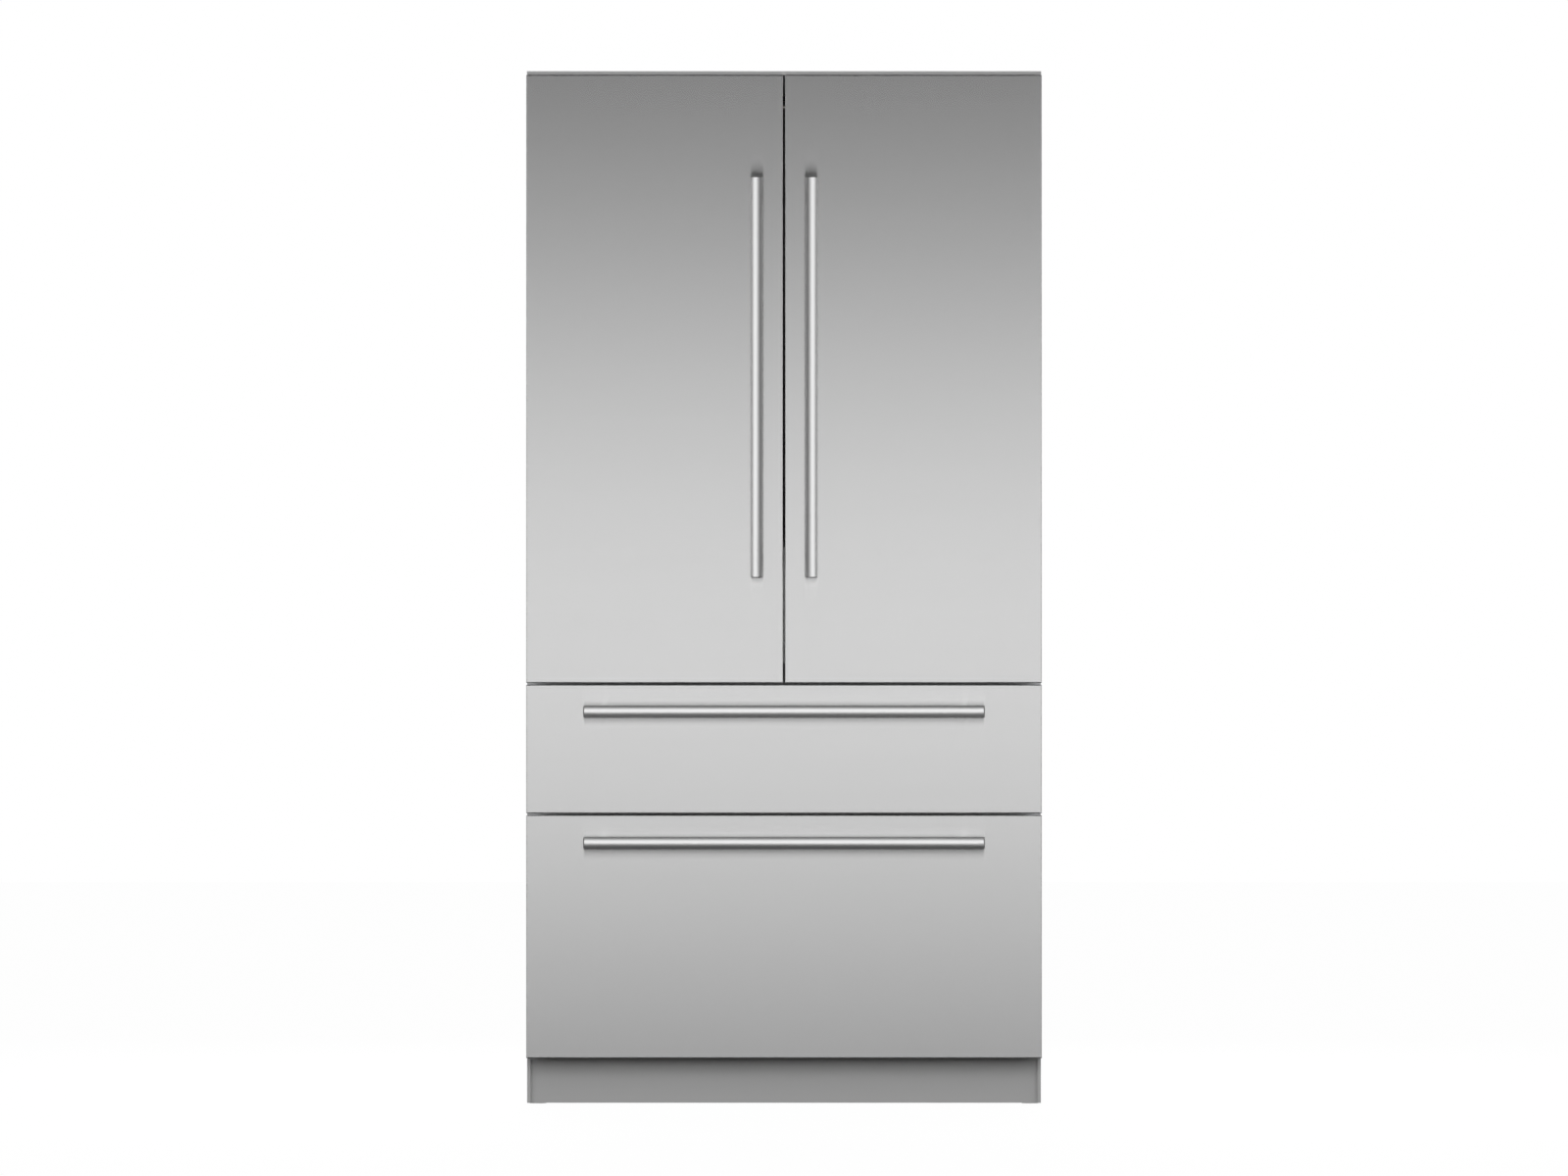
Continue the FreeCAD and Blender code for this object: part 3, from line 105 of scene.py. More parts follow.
# %% Helpers for materials and meshes
def new_material(name, **values):
    """An empty material with a Principled shader, and the plain values set on it."""
    material = bpy.data.materials.new(name)
    material.use_nodes = True
    shader = material.node_tree.nodes["Principled BSDF"]
    for socket, value in values.items():
        socket = socket.replace("_", " ")
        if isinstance(value, tuple):
            value = (*value, 1.0)
        shader.inputs[socket].default_value = value
    return material, material.node_tree, shader


def math_node(tree, operation, first, second):
    """A Math node whose inputs are sockets or plain numbers; gives its output socket."""
    node = tree.nodes.new("ShaderNodeMath")
    node.operation = operation
    for index, value in enumerate((first, second)):
        if isinstance(value, (int, float)):
            node.inputs[index].default_value = value
        else:
            tree.links.new(value, node.inputs[index])
    return node.outputs[0]


def camera_sees(tree, seen, share, plain, surface):
    """Mixes a share of a shader over a plain one, for camera rays only."""
    path = tree.nodes.new("ShaderNodeLightPath")
    mix = tree.nodes.new("ShaderNodeMixShader")
    amount = math_node(tree, "MULTIPLY", path.outputs["Is Camera Ray"], share)
    for source, socket in ((amount, mix.inputs["Fac"]), (plain, mix.inputs[1]),
                           (seen, mix.inputs[2]), (mix.outputs[0], surface)):
        tree.links.new(source, socket)


def mesh_object(name, vertices, faces, material=None):
    """A mesh object at the origin from lists of corners and faces, in metres."""
    mesh = bpy.data.meshes.new(name)
    mesh.from_pydata([tuple(v) for v in vertices], [], faces)
    mesh.update()
    made = bpy.data.objects.new(name, mesh)
    bpy.context.scene.collection.objects.link(made)
    if material is not None:
        mesh.materials.append(material)
    return made


print("helpers ready")

# %% [markdown]
# The background of the photograph is plain white, but metal in a white room would mirror white
# and lose its shape. So the world has two strengths: full white where the camera looks at it,
# and a faint light everywhere else.

# %% World
WORLD_LIGHT, WORLD_SEEN = 0.09, 1.0
scene = bpy.context.scene
scene.view_settings.view_transform = "Standard"
world = bpy.data.worlds.new("studio_world")
scene.world = world
world.use_nodes = True
sky = world.node_tree
sky.nodes.clear()
skies = []
for strength in (WORLD_LIGHT, WORLD_SEEN):
    background = sky.nodes.new("ShaderNodeBackground")
    background.inputs["Color"].default_value = (1.0, 1.0, 1.0, 1.0)
    background.inputs["Strength"].default_value = strength
    skies.append(background.outputs[0])
camera_sees(sky, skies[1], 1.0, skies[0],
            sky.nodes.new("ShaderNodeOutputWorld").inputs["Surface"])
print("world light", WORLD_LIGHT)

# %% [markdown]
# The floor is pale to the camera and darker to the metal, for the same reason. It is large
# enough that its edge never shows, and it is marked as stage, because it isn't part of the
# refrigerator.

# %% Floor
FLOOR_GLOW, FLOOR_GLOW_SHARE = 1.05, 0.94
FLOOR_HALF = 30.0
floor_material, floor_tree, floor_shader = new_material(
    "studio_floor", Base_Color=(0.12, 0.12, 0.12), Roughness=0.6)
floor_glow = floor_tree.nodes.new("ShaderNodeEmission")
floor_glow.inputs["Strength"].default_value = FLOOR_GLOW
camera_sees(floor_tree, floor_glow.outputs[0], FLOOR_GLOW_SHARE, floor_shader.outputs[0],
            floor_tree.nodes["Material Output"].inputs["Surface"])
floor_corners = [(x * FLOOR_HALF, y * FLOOR_HALF, 0)
                 for x, y in ((-1, -1), (1, -1), (1, 1), (-1, 1))]
floor = mesh_object("floor", floor_corners, [(0, 1, 2, 3)], floor_material)
floor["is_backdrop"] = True
print("floor", 2 * FLOOR_HALF, "m across")

# %% [markdown]
# A studio for steel is made of large soft lights, because brushed metal only shows what it
# mirrors. One long strip in front at hip height makes the bright middle of the doors, and the
# steel's roughness spreads it up and down. A thin strip with rougher steel gives the same
# fall-off, but a tall one is hit by more of the mirrored rays, so the render is cleaner.
#
# Round bars mirror far more of a room than flat doors do, so they get panels of their own.
# Light linking says which pieces a light falls on: the strip leaves the bars out, and each bar
# has one soft panel, from its outer side for the upright bars and from above for the level
# ones. The kick, the trim and the roof have their own too.

# %% Soft lights
UPRIGHT_BARS = ["left_handle", "right_handle"]
LEVEL_BARS = ["upper_handle", "lower_handle"]
BARS = UPRIGHT_BARS + LEVEL_BARS
STRIP_LEVEL = 0.965
BAR_ACROSS = 0.056


def soft_light(name, place, target, size, watts, only=(), without=()):
    """A rectangular area light that looks at a point and may be linked to some pieces."""
    data = bpy.data.lights.new(name, "AREA")
    data.shape = "RECTANGLE"
    data.size, data.size_y = size
    data.energy = watts
    light = bpy.data.objects.new(name, data)
    light.location = place
    direction = Vector(target) - Vector(place)
    light.rotation_euler = direction.to_track_quat("-Z", "Y").to_euler()
    light.visible_camera = False
    bpy.context.scene.collection.objects.link(light)
    if only or without:
        receivers = bpy.data.collections.new(f"{name}_receivers")
        light.light_linking.receiver_collection = receivers
        for node in only or without:
            receivers.objects.link(NODES[node] if isinstance(node, str) else node)
        for link in receivers.collection_objects:
            link.light_linking.link_state = "INCLUDE" if only else "EXCLUDE"
    return light


soft_light("front_strip", (0.0, -3.0, STRIP_LEVEL), (0.0, 0.0, STRIP_LEVEL), (9.0, 1.3), 57.5,
           without=BARS)
soft_light("kick_panel", (0.0, -1.9, 1.3), (0.0, -0.2, 0.05), (5.0, 1.0), 19.0, only=["toe_kick"])
soft_light("kick_fill", (0.0, -2.6, 0.5), (0.0, -0.2, 0.06), (5.0, 0.8), 6.3, only=["toe_kick"])
soft_light("ceiling_panel", (0.0, -1.5, 5.0), (0.0, 0.0, 0.0), (8.0, 6.0), 7.0, without=BARS)
for side, way in (("left", -1), ("right", 1)):
    soft_light(f"{side}_side_panel", (way * 4.5, -1.0, 1.6), (0.0, 0.0, 1.0), (3.0, 3.5), 25.0,
               without=BARS)
soft_light("back_panel", (0.0, 5.0, 2.4), (0.0, 0.0, 1.0), (4.0, 3.0), 130.0)
for door, way in (("left", -1), ("right", 1)):
    soft_light(f"{door}_bar_panel", (way * 1.5, -2.6, 1.5), (way * BAR_ACROSS, -0.32, 1.5),
               (5.2, 3.8), 56.0, only=[f"{door}_handle"])
soft_light("level_bar_panel", (0.0, -2.6, 1.55), (0.0, -0.32, 0.67), (6.0, 4.2), 76.0,
           only=LEVEL_BARS)
soft_light("bar_fill", (0.0, -3.6, 0.7), (0.0, -0.32, 0.9), (9.0, 3.6), 45.0, only=BARS)
soft_light("roof_panel", (0.0, 0.3, 5.0), (0.0, 0.0, 2.1), (5.0, 4.0), 60.0,
           only=["cabinet_shell"])
soft_light("trim_panel", (0.0, -3.2, 2.7), (0.0, -0.25, 2.12), (6.0, 0.7), 22.0, only=["top_trim"])

# %% [markdown]
# Finishes share a few effects, so each effect is a node group that is built once. The first
# one is the grain that an abrasive belt leaves on sheet steel: thousands of hair lines in one
# direction. Noise that is stretched along that direction and read from object coordinates
# gives them at real size, whatever the piece.

# %% Shared effect: brushed grain
def new_group(name, inputs, outputs):
    """A shader node group with its named sockets."""
    group = bpy.data.node_groups.new(name, "ShaderNodeTree")
    for label, kind, default in inputs:
        socket = group.interface.new_socket(label, in_out="INPUT", socket_type=kind)
        if default is not None:
            socket.default_value = default
    for label, kind in outputs:
        group.interface.new_socket(label, in_out="OUTPUT", socket_type=kind)
    return group, group.nodes.new("NodeGroupInput"), group.nodes.new("NodeGroupOutput")


def stretched_noise(tree, vector, scale, detail):
    """Noise read from coordinates that are multiplied by a vector; gives its value."""
    stretch = tree.nodes.new("ShaderNodeVectorMath")
    stretch.operation = "MULTIPLY"
    tree.links.new(vector, stretch.inputs[0])
    if isinstance(scale, tuple):
        stretch.inputs[1].default_value = scale
    else:
        tree.links.new(scale, stretch.inputs[1])
    noise = tree.nodes.new("ShaderNodeTexNoise")
    noise.inputs["Scale"].default_value = 1.0
    noise.inputs["Detail"].default_value = detail
    noise.inputs["Roughness"].default_value = 0.6
    tree.links.new(stretch.outputs[0], noise.inputs["Vector"])
    return noise.outputs["Fac"]


LINE_SHARE, BAND_SHARE = 0.8, 0.2
grain_group, grain_in, grain_out = new_group(
    "brushed_grain",
    [("Stretch", "NodeSocketVector", (2.0, 2.0, 900.0)),
     ("Bands", "NodeSocketVector", (0.4, 0.4, 60.0))],
    [("Lines", "NodeSocketFloat"), ("Tone", "NodeSocketFloat")])
grain_place = grain_group.nodes.new("ShaderNodeTexCoord").outputs["Object"]
fine_lines = stretched_noise(grain_group, grain_place, grain_in.outputs["Stretch"], 3.0)
broad_bands = stretched_noise(grain_group, grain_place, grain_in.outputs["Bands"], 2.0)
lines_part = math_node(grain_group, "MULTIPLY", fine_lines, LINE_SHARE)
bands_part = math_node(grain_group, "MULTIPLY", broad_bands, BAND_SHARE)
grain_tone = math_node(grain_group, "ADD", lines_part, bands_part)
grain_group.links.new(fine_lines, grain_out.inputs["Lines"])
grain_group.links.new(grain_tone, grain_out.inputs["Tone"])
print("group", grain_group.name)

# %% [markdown]
# Moulded plastic, powder paint and foam all have an uneven skin: fine pits or the slight
# waves of orange peel. One group gives a slow mottle for the colour and a small height for
# the bump, from the same named size.

# %% Shared effect: uneven skin
skin_group, skin_in, skin_out = new_group(
    "uneven_skin",
    [("Grain Size", "NodeSocketFloat", 1.0), ("Mottle Size", "NodeSocketFloat", 1.0)],
    [("Grain", "NodeSocketFloat"), ("Mottle", "NodeSocketFloat")])
skin_place = skin_group.nodes.new("ShaderNodeTexCoord")
for label, source in (("Grain", "Grain Size"), ("Mottle", "Mottle Size")):
    scale = math_node(skin_group, "DIVIDE", 1.0, skin_in.outputs[source])
    noise = skin_group.nodes.new("ShaderNodeTexNoise")
    noise.inputs["Detail"].default_value = 3.0
    skin_group.links.new(skin_place.outputs["Object"], noise.inputs["Vector"])
    skin_group.links.new(scale, noise.inputs["Scale"])
    skin_group.links.new(noise.outputs["Fac"], skin_out.inputs[label])
print("group", skin_group.name)

# %% [markdown]
# Dust settles on what faces up and in low corners; the group takes only what faces up. It
# reads the surface's normal and a noise, and gives a mask that a finish uses to lighten its
# colour.

# %% Shared effect: settled dust
dust_group, dust_in, dust_out = new_group(
    "settled_dust", [("Amount", "NodeSocketFloat", 0.3)], [("Mask", "NodeSocketFloat")])
dust_place = dust_group.nodes.new("ShaderNodeTexCoord")
dust_shape = dust_group.nodes.new("ShaderNodeNewGeometry")
dust_axes = dust_group.nodes.new("ShaderNodeSeparateXYZ")
dust_group.links.new(dust_shape.outputs["Normal"], dust_axes.inputs[0])
UPRIGHT_SHARE = 0.05           # what an upright face holds of the dust on a level one
SPECKS_PER_METRE = (35.0, 35.0, 35.0)
upward = math_node(dust_group, "MAXIMUM", dust_axes.outputs["Z"], UPRIGHT_SHARE)
specks = stretched_noise(dust_group, dust_place.outputs["Object"], SPECKS_PER_METRE, 5.0)
dusty = math_node(dust_group, "MULTIPLY", upward, specks)
dusty = math_node(dust_group, "MULTIPLY", dusty, dust_in.outputs["Amount"])
dust_group.links.new(dusty, dust_out.inputs["Mask"])
print("group", dust_group.name)

# %% [markdown]
# Every finish is dressed in the same order: a shared effect is placed in its material, its
# values are spread over a range, and they feed the colour, the roughness or the bump. As
# helpers, these steps leave only the numbers that make one finish differ from another.

# %% Helpers that dress a shader with the shared effects
NOISE_LOW, NOISE_HIGH = 0.3, 0.7         # nearly all of a noise lies between these


def use_group(tree, group, **values):
    """Places a node group and sets its plain inputs."""
    node = tree.nodes.new("ShaderNodeGroup")
    node.node_tree = group
    for label, value in values.items():
        node.inputs[label.replace("_", " ")].default_value = value
    return node


def spread(tree, source, low, high, socket):
    """Maps a 0 to 1 value to a range and feeds it to a socket."""
    node = tree.nodes.new("ShaderNodeMapRange")
    node.inputs["To Min"].default_value = low
    node.inputs["To Max"].default_value = high
    node.inputs["From Min"].default_value = NOISE_LOW
    node.inputs["From Max"].default_value = NOISE_HIGH
    tree.links.new(source, node.inputs["Value"])
    tree.links.new(node.outputs[0], socket)


def two_colours(tree, mask, first, second, socket):
    """Mixes two colours by a mask for a socket; the first may come from a socket."""
    node = tree.nodes.new("ShaderNodeMix")
    node.data_type = "RGBA"
    if isinstance(first, tuple):
        node.inputs[6].default_value = (*first, 1.0)
    else:
        tree.links.new(first, node.inputs[6])
    node.inputs[7].default_value = (*second, 1.0)
    tree.links.new(mask, node.inputs[0])
    tree.links.new(node.outputs[2], socket)
    return node.outputs[2]


def varied(tree, mask, colour, darker, lighter, socket):
    """Varies one colour between two factors by a mask; gives the varied colour."""
    dark = tuple(c * darker for c in colour)
    light = tuple(min(1.0, c * lighter) for c in colour)
    return two_colours(tree, mask, dark, light, socket)


def bumped(tree, height, shader, strength, distance):
    """Feeds a height to the shader's normal through a Bump node."""
    node = tree.nodes.new("ShaderNodeBump")
    node.inputs["Strength"].default_value = strength
    node.inputs["Distance"].default_value = distance
    tree.links.new(height, node.inputs["Height"])
    tree.links.new(node.outputs[0], shader.inputs["Normal"])


def dress(names, material):
    """Puts one finish on every slot of these CAD nodes."""
    for name in names:
        slots = NODES[name].material_slots
        if not slots:
            NODES[name].data.materials.append(material)
        for slot in slots:
            slot.material = material


def grey(value):
    """A neutral colour."""
    return (value, value, value)


print("dressing helpers ready")

# %% [markdown]
# The door and drawer faces are brushed stainless steel. The belt ran across the width, so
# light spreads up and down the face and hardly sideways: that is an anisotropic highlight
# turned a quarter. The grain group varies the tone by a few per cent and the roughness a
# little, and cuts hair lines of a few hundredths of a millimetre.

# %% Brushed steel
TONE_SWING = 0.03
GLOSS_SWING = 0.01
LINE_BUMP, LINE_DEPTH = 0.02, 0.00003


def brushed_steel(name, tone, rough, stretch, bands, turn=0.25, level=1.0, around=None):
    """Brushed metal whose grain runs where the stretch vector is small."""
    material, tree, shader = new_material(
        name, Metallic=1.0, Anisotropic=level, Anisotropic_Rotation=turn)
    grain = use_group(tree, grain_group, Stretch=stretch, Bands=bands)
    varied(tree, grain.outputs["Tone"], grey(tone), 1 - TONE_SWING, 1 + TONE_SWING,
           shader.inputs["Base Color"])
    spread(tree, grain.outputs["Lines"], rough - GLOSS_SWING, rough + GLOSS_SWING,
           shader.inputs["Roughness"])
    bumped(tree, grain.outputs["Lines"], shader, LINE_BUMP, LINE_DEPTH)
    if around:
        tangent = tree.nodes.new("ShaderNodeTangent")
        tangent.direction_type = "RADIAL"
        tangent.axis = around
        tree.links.new(tangent.outputs[0], shader.inputs["Tangent"])
    return material


ACROSS = dict(stretch=(1.6, 40.0, 1100.0), bands=(0.25, 8.0, 70.0))
UP_THE_BAR = dict(stretch=(900.0, 900.0, 2.0), bands=(60.0, 60.0, 0.3), turn=0.0, level=0.3)
ALONG_THE_BAR = dict(stretch=(2.0, 900.0, 900.0), bands=(0.3, 60.0, 60.0), turn=0.0, level=0.3)
face_steel = brushed_steel("face_steel", 0.66, 0.233, **ACROSS)
trim_steel = brushed_steel("trim_steel", 0.7, 0.3, **ACROSS)
# The kick is the faces' steel at a lower tone: painted shade for its recess under the lower
# drawer.
kick_steel = brushed_steel("kick_steel", 0.43, 0.52, level=0.4, **ACROSS)
upright_bar = brushed_steel("upright_bar_steel", 0.8, 0.46, **UP_THE_BAR)
level_bar = brushed_steel("level_bar_steel", 0.8, 0.46, around="X", **ALONG_THE_BAR)
dress(["left_panel", "right_panel", "upper_panel", "lower_panel"], face_steel)
dress(["top_trim"], trim_steel)
dress(["toe_kick"], kick_steel)
dress(UPRIGHT_BARS, upright_bar)
dress(LEVEL_BARS, level_bar)
print("steel", face_steel.name, trim_steel.name, kick_steel.name)

# %% [markdown]
# Behind the faces the metal is plainer. The carcass, its front frame and the base are powder
# coated: that is the uneven skin with a mask of dust mixed over its colour. The compressor's
# thick enamel is the same paint with a coat, and the hinges are cast metal under a thin film.

# %% Painted metal
DUST_COLOUR = (0.55, 0.53, 0.5)
PEEL_DEPTH = 0.00008


def painted(name, colour, rough, peel=0.35, dust=0.25, metallic=0.0, coat=0.0):
    """Powder paint or enamel: orange peel, a slow mottle and some dust on top."""
    material, tree, shader = new_material(
        name, Metallic=metallic, Coat_Weight=coat, Coat_Roughness=0.15)
    skin = use_group(tree, skin_group, Grain_Size=0.0016, Mottle_Size=0.12)
    film = use_group(tree, dust_group, Amount=dust)
    paint = varied(tree, skin.outputs["Mottle"], colour, 0.93, 1.08, shader.inputs["Base Color"])
    two_colours(tree, film.outputs["Mask"], paint, DUST_COLOUR, shader.inputs["Base Color"])
    spread(tree, skin.outputs["Mottle"], rough - 0.05, rough + 0.05, shader.inputs["Roughness"])
    bumped(tree, skin.outputs["Grain"], shader, peel, PEEL_DEPTH)
    return material


carcass_paint = painted("carcass_paint", (0.42, 0.43, 0.44), 0.42)
frame_paint = painted("frame_paint", (0.55, 0.56, 0.57), 0.38, dust=0.05)
hinge_metal = painted("hinge_metal", (0.42, 0.43, 0.44), 0.36, peel=0.1, dust=0.1, metallic=0.9)
base_paint = painted("base_paint", (0.09, 0.09, 0.095), 0.5, dust=0.5)
can_paint = painted("can_paint", (0.012, 0.012, 0.013), 0.28, peel=0.5, dust=0.35, coat=0.4)
dress(["cabinet_shell"], carcass_paint)
dress(["face_frame"], frame_paint)
dress(["top_hinges", "bottom_hinges"], hinge_metal)
dress(["base_frame", "condenser_shroud"], base_paint)
dress(["compressor"], can_paint)
print("painted", carcass_paint.name, frame_paint.name, base_paint.name)

# %% [markdown]
# The back sheet and the slides are galvanised, and the coils are mill aluminium. Both show
# crystals with clear borders, which a noise doesn't have. So a Voronoi pattern gives the
# cells, and each cell's random colour sets its tone and its gloss.

# %% Plated and raw metal
def plated(name, colour, rough, size, contrast=0.12):
    """Zinc or mill aluminium: crystals of slightly different tone."""
    material, tree, shader = new_material(name, Metallic=1.0)
    place = tree.nodes.new("ShaderNodeTexCoord")
    crystals = tree.nodes.new("ShaderNodeTexVoronoi")
    crystals.inputs["Scale"].default_value = 1.0 / size
    crystals.inputs["Randomness"].default_value = 1.0
    tree.links.new(place.outputs["Object"], crystals.inputs["Vector"])
    value = tree.nodes.new("ShaderNodeSeparateColor")
    tree.links.new(crystals.outputs["Color"], value.inputs[0])
    varied(tree, value.outputs[0], colour, 1 - contrast, 1 + contrast, shader.inputs["Base Color"])
    spread(tree, value.outputs[1], rough - contrast / 2, rough + contrast / 2,
           shader.inputs["Roughness"])
    return material


zinc_sheet = plated("zinc_sheet", (0.62, 0.64, 0.66), 0.42, 0.011, 0.05)
slide_zinc = plated("slide_zinc", (0.70, 0.71, 0.72), 0.36, 0.003, 0.04)
coil_metal = plated("coil_metal", (0.78, 0.79, 0.80), 0.36, 0.006, 0.05)
DOORS = ("left", "right")
DRAWERS = ("upper", "lower")
FRONTS = DOORS + DRAWERS
dress(["rear_cover"], zinc_sheet)
dress([f"{drawer}_slide_{part}" for drawer in DRAWERS for part in ("outers", "mids", "inners")],
      slide_zinc)
dress(["condenser", "evaporator"], coil_metal)
print("plated", zinc_sheet.name, slide_zinc.name, coil_metal.name)

# %% [markdown]
# The liners are drawn hot over a form, the bins are injection moulded and the seals are soft
# vinyl. They differ in colour, in gloss and in how coarse their skin is, so one helper makes
# them all, and a coat gives the touch panel its polished cover.

# %% Plastics, rubber and foam
TEXTURE_DEPTH = 0.00006


def moulded(name, colour, rough, grain_size=0.0009, grain=0.07, coat=0.0):
    """Injection-moulded or vacuum-formed plastic with a fine texture."""
    material, tree, shader = new_material(name, Coat_Weight=coat, Coat_Roughness=0.08)
    skin = use_group(tree, skin_group, Grain_Size=grain_size, Mottle_Size=0.09)
    varied(tree, skin.outputs["Mottle"], colour, 0.985, 1.01, shader.inputs["Base Color"])
    spread(tree, skin.outputs["Mottle"], rough - 0.02, rough + 0.02, shader.inputs["Roughness"])
    bumped(tree, skin.outputs["Grain"], shader, grain, TEXTURE_DEPTH)
    return material


liner_white = moulded("liner_white", (0.86, 0.87, 0.87), 0.3)
door_liner_white = moulded("door_liner_white", (0.87, 0.875, 0.875), 0.32)
bin_white = moulded("bin_white", (0.84, 0.85, 0.86), 0.32)
duct_grey = moulded("duct_grey", (0.70, 0.71, 0.72), 0.35)
fan_plastic = moulded("fan_plastic", (0.028, 0.029, 0.031), 0.45)
foot_plastic = moulded("foot_plastic", (0.02, 0.02, 0.021), 0.55, grain_size=0.002, grain=0.4)
gasket_rubber = moulded("gasket_rubber", (0.42, 0.425, 0.43), 0.62, grain_size=0.0006, grain=0.3)
foam_skin = moulded("foam_skin", (0.72, 0.62, 0.36), 0.8, grain_size=0.004, grain=0.9)
touch_black = moulded("touch_black", (0.008, 0.008, 0.01), 0.08, grain_size=0.02, grain=0.02,
                      coat=0.6)
dress(["fridge_liner", "upper_drawer_liner", "lower_drawer_liner"], liner_white)
dress([f"{front}_core" for front in FRONTS] + ["mullion_flap"], door_liner_white)
dress([f"{drawer}_bin" for drawer in DRAWERS], bin_white)
dress(["air_duct"], duct_grey)
dress(["condenser_fan", "evaporator_fan"], fan_plastic)
dress(["levelling_feet"], foot_plastic)
dress([f"{front}_gasket" for front in FRONTS], gasket_rubber)
dress(["insulation", "fridge_floor", "drawer_divider", "freezer_floor"], foam_skin)
dress(["control_panel"], touch_black)
print("plastics", liner_white.name, bin_white.name, gasket_rubber.name)

# %% [markdown]
# Shelves are tempered glass, and the crispers and door racks are clear polystyrene. Both are
# full transmission in the shader, with the refraction of each. A faint ripple bends what shows
# behind them, as in real sheet, and a little roughness keeps the moulded parts softer.

# %% Glass and clear plastic
RIPPLE_DEPTH = 0.0002


def clear(name, colour, rough, ior, ripple):
    """See-through glass or polystyrene with a faint ripple."""
    material, tree, shader = new_material(name, Transmission_Weight=1.0, IOR=ior, Metallic=0.0)
    skin = use_group(tree, skin_group, Grain_Size=0.03, Mottle_Size=0.2)
    varied(tree, skin.outputs["Mottle"], colour, 0.985, 1.0, shader.inputs["Base Color"])
    spread(tree, skin.outputs["Mottle"], rough, rough + 0.03, shader.inputs["Roughness"])
    bumped(tree, skin.outputs["Grain"], shader, ripple, RIPPLE_DEPTH)
    return material


shelf_glass = clear("shelf_glass", (0.93, 0.98, 0.96), 0.02, 1.52, 0.02)
clear_bin = clear("clear_bin", (0.95, 0.97, 0.98), 0.05, 1.45, 0.05)
RACKS = ("lower", "middle", "upper")
dress(["shelf_lower", "shelf_upper", "crisper_cover"], shelf_glass)
dress([f"{door}_rack_{rack}" for door in DOORS for rack in RACKS], clear_bin)
dress(["crisper_left", "crisper_right"], clear_bin)
bare = [name for name, node in NODES.items()
        if any(slot.material is None for slot in node.material_slots)]
print("clear", shelf_glass.name, clear_bin.name, "- nodes without a finish:", bare)

# %% [markdown]
# The clip-on parts are made from a few shapes that a workshop would also use. Their faces are
# turned outwards, sharp edges get a small round, and each piece is told which body it rides
# on. Sizes are in millimetres here and become metres in the mesh.

# %% Finishing a made piece
AXES = {"x": (1, 2, 0), "y": (0, 2, 1), "z": (0, 1, 2)}      # across, up and along
TURN_STEPS = 40


def closed_mesh(name, corners, faces, finish):
    """A mesh object whose faces all look outwards."""
    made = mesh_object(name, corners, faces, finish)
    work = bmesh.new()
    work.from_mesh(made.data)
    bmesh.ops.remove_doubles(work, verts=work.verts, dist=1e-7)
    bmesh.ops.recalc_face_normals(work, faces=work.faces)
    work.to_mesh(made.data)
    work.free()
    return made


def kept(made, body, bevel=0.0):
    """Softens a piece's edges and says what it rides on."""
    if bevel:
        soften = made.modifiers.new("soft_edges", "BEVEL")
        soften.width = bevel * MM
        soften.segments = 2
        soften.limit_method = "ANGLE"
        soften.angle_limit = math.radians(40)
    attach(made, body)
    return made


def mirrored(way, near, far):
    """A stretch on the left (-1) or right (1) side, from its low end to its high end."""
    return sorted((way * near, way * far))


def moved(outline, across, up):
    """An outline set at a place."""
    return [(across + u, up + v) for u, v in outline]


def centred(low, high, pitch, count):
    """A row of places at one pitch, in the middle of a stretch."""
    first = (low + high) / 2 - pitch * (count - 1) / 2
    return [first + pitch * i for i in range(count)]


print("finishing helpers ready")

# %% [markdown]
# A bar has one outline all along, like an extrusion. It could be a curve with a bevel, but
# plain rings of corners keep its ends flat and its faces few.

# %% Bars
def bar(name, outline, axis, low, high, finish):
    """A bar with one outline all along an axis; the outline is in the two other axes."""
    first, second, along = AXES[axis]
    corners = []
    for reach in (low, high):
        for across, up in outline:
            spot = [0.0, 0.0, 0.0]
            spot[first], spot[second], spot[along] = across * MM, up * MM, reach * MM
            corners.append(spot)
    count = len(outline)
    faces = [tuple(range(count)), tuple(range(count, 2 * count))]
    faces += [(i, (i + 1) % count, count + (i + 1) % count, count + i) for i in range(count)]
    return closed_mesh(name, corners, faces, finish)


print("bars ready")

# %% [markdown]
# A collar is turned on a lathe, and a seal is a section carried round a rectangle with mitred
# corners, as a picture frame is. A Screw modifier would do for the first, but one loop over
# the outline makes several at once, each at its own centre.

# %% Turned rings and mouldings
def turned(name, outline, centres, axis, finish):
    """Rings or caps: an outline of (radius, along) spun about an axis through each centre."""
    first, second, along = AXES[axis]
    corners, faces = [], []
    for centre in centres:
        start = len(corners)
        for step in range(TURN_STEPS):
            angle = 2 * math.pi * step / TURN_STEPS
            for radius, reach in outline:
                spot = [v * MM for v in centre]
                spot[first] += radius * math.cos(angle) * MM
                spot[second] += radius * math.sin(angle) * MM
                spot[along] += reach * MM
                corners.append(spot)
        count = len(outline)
        for step in range(TURN_STEPS):
            here, there = start + step * count, start + (step + 1) % TURN_STEPS * count
            for i in range(count):
                j = (i + 1) % count
                faces.append((here + i, here + j, there + j, there + i))
    return closed_mesh(name, corners, faces, finish)


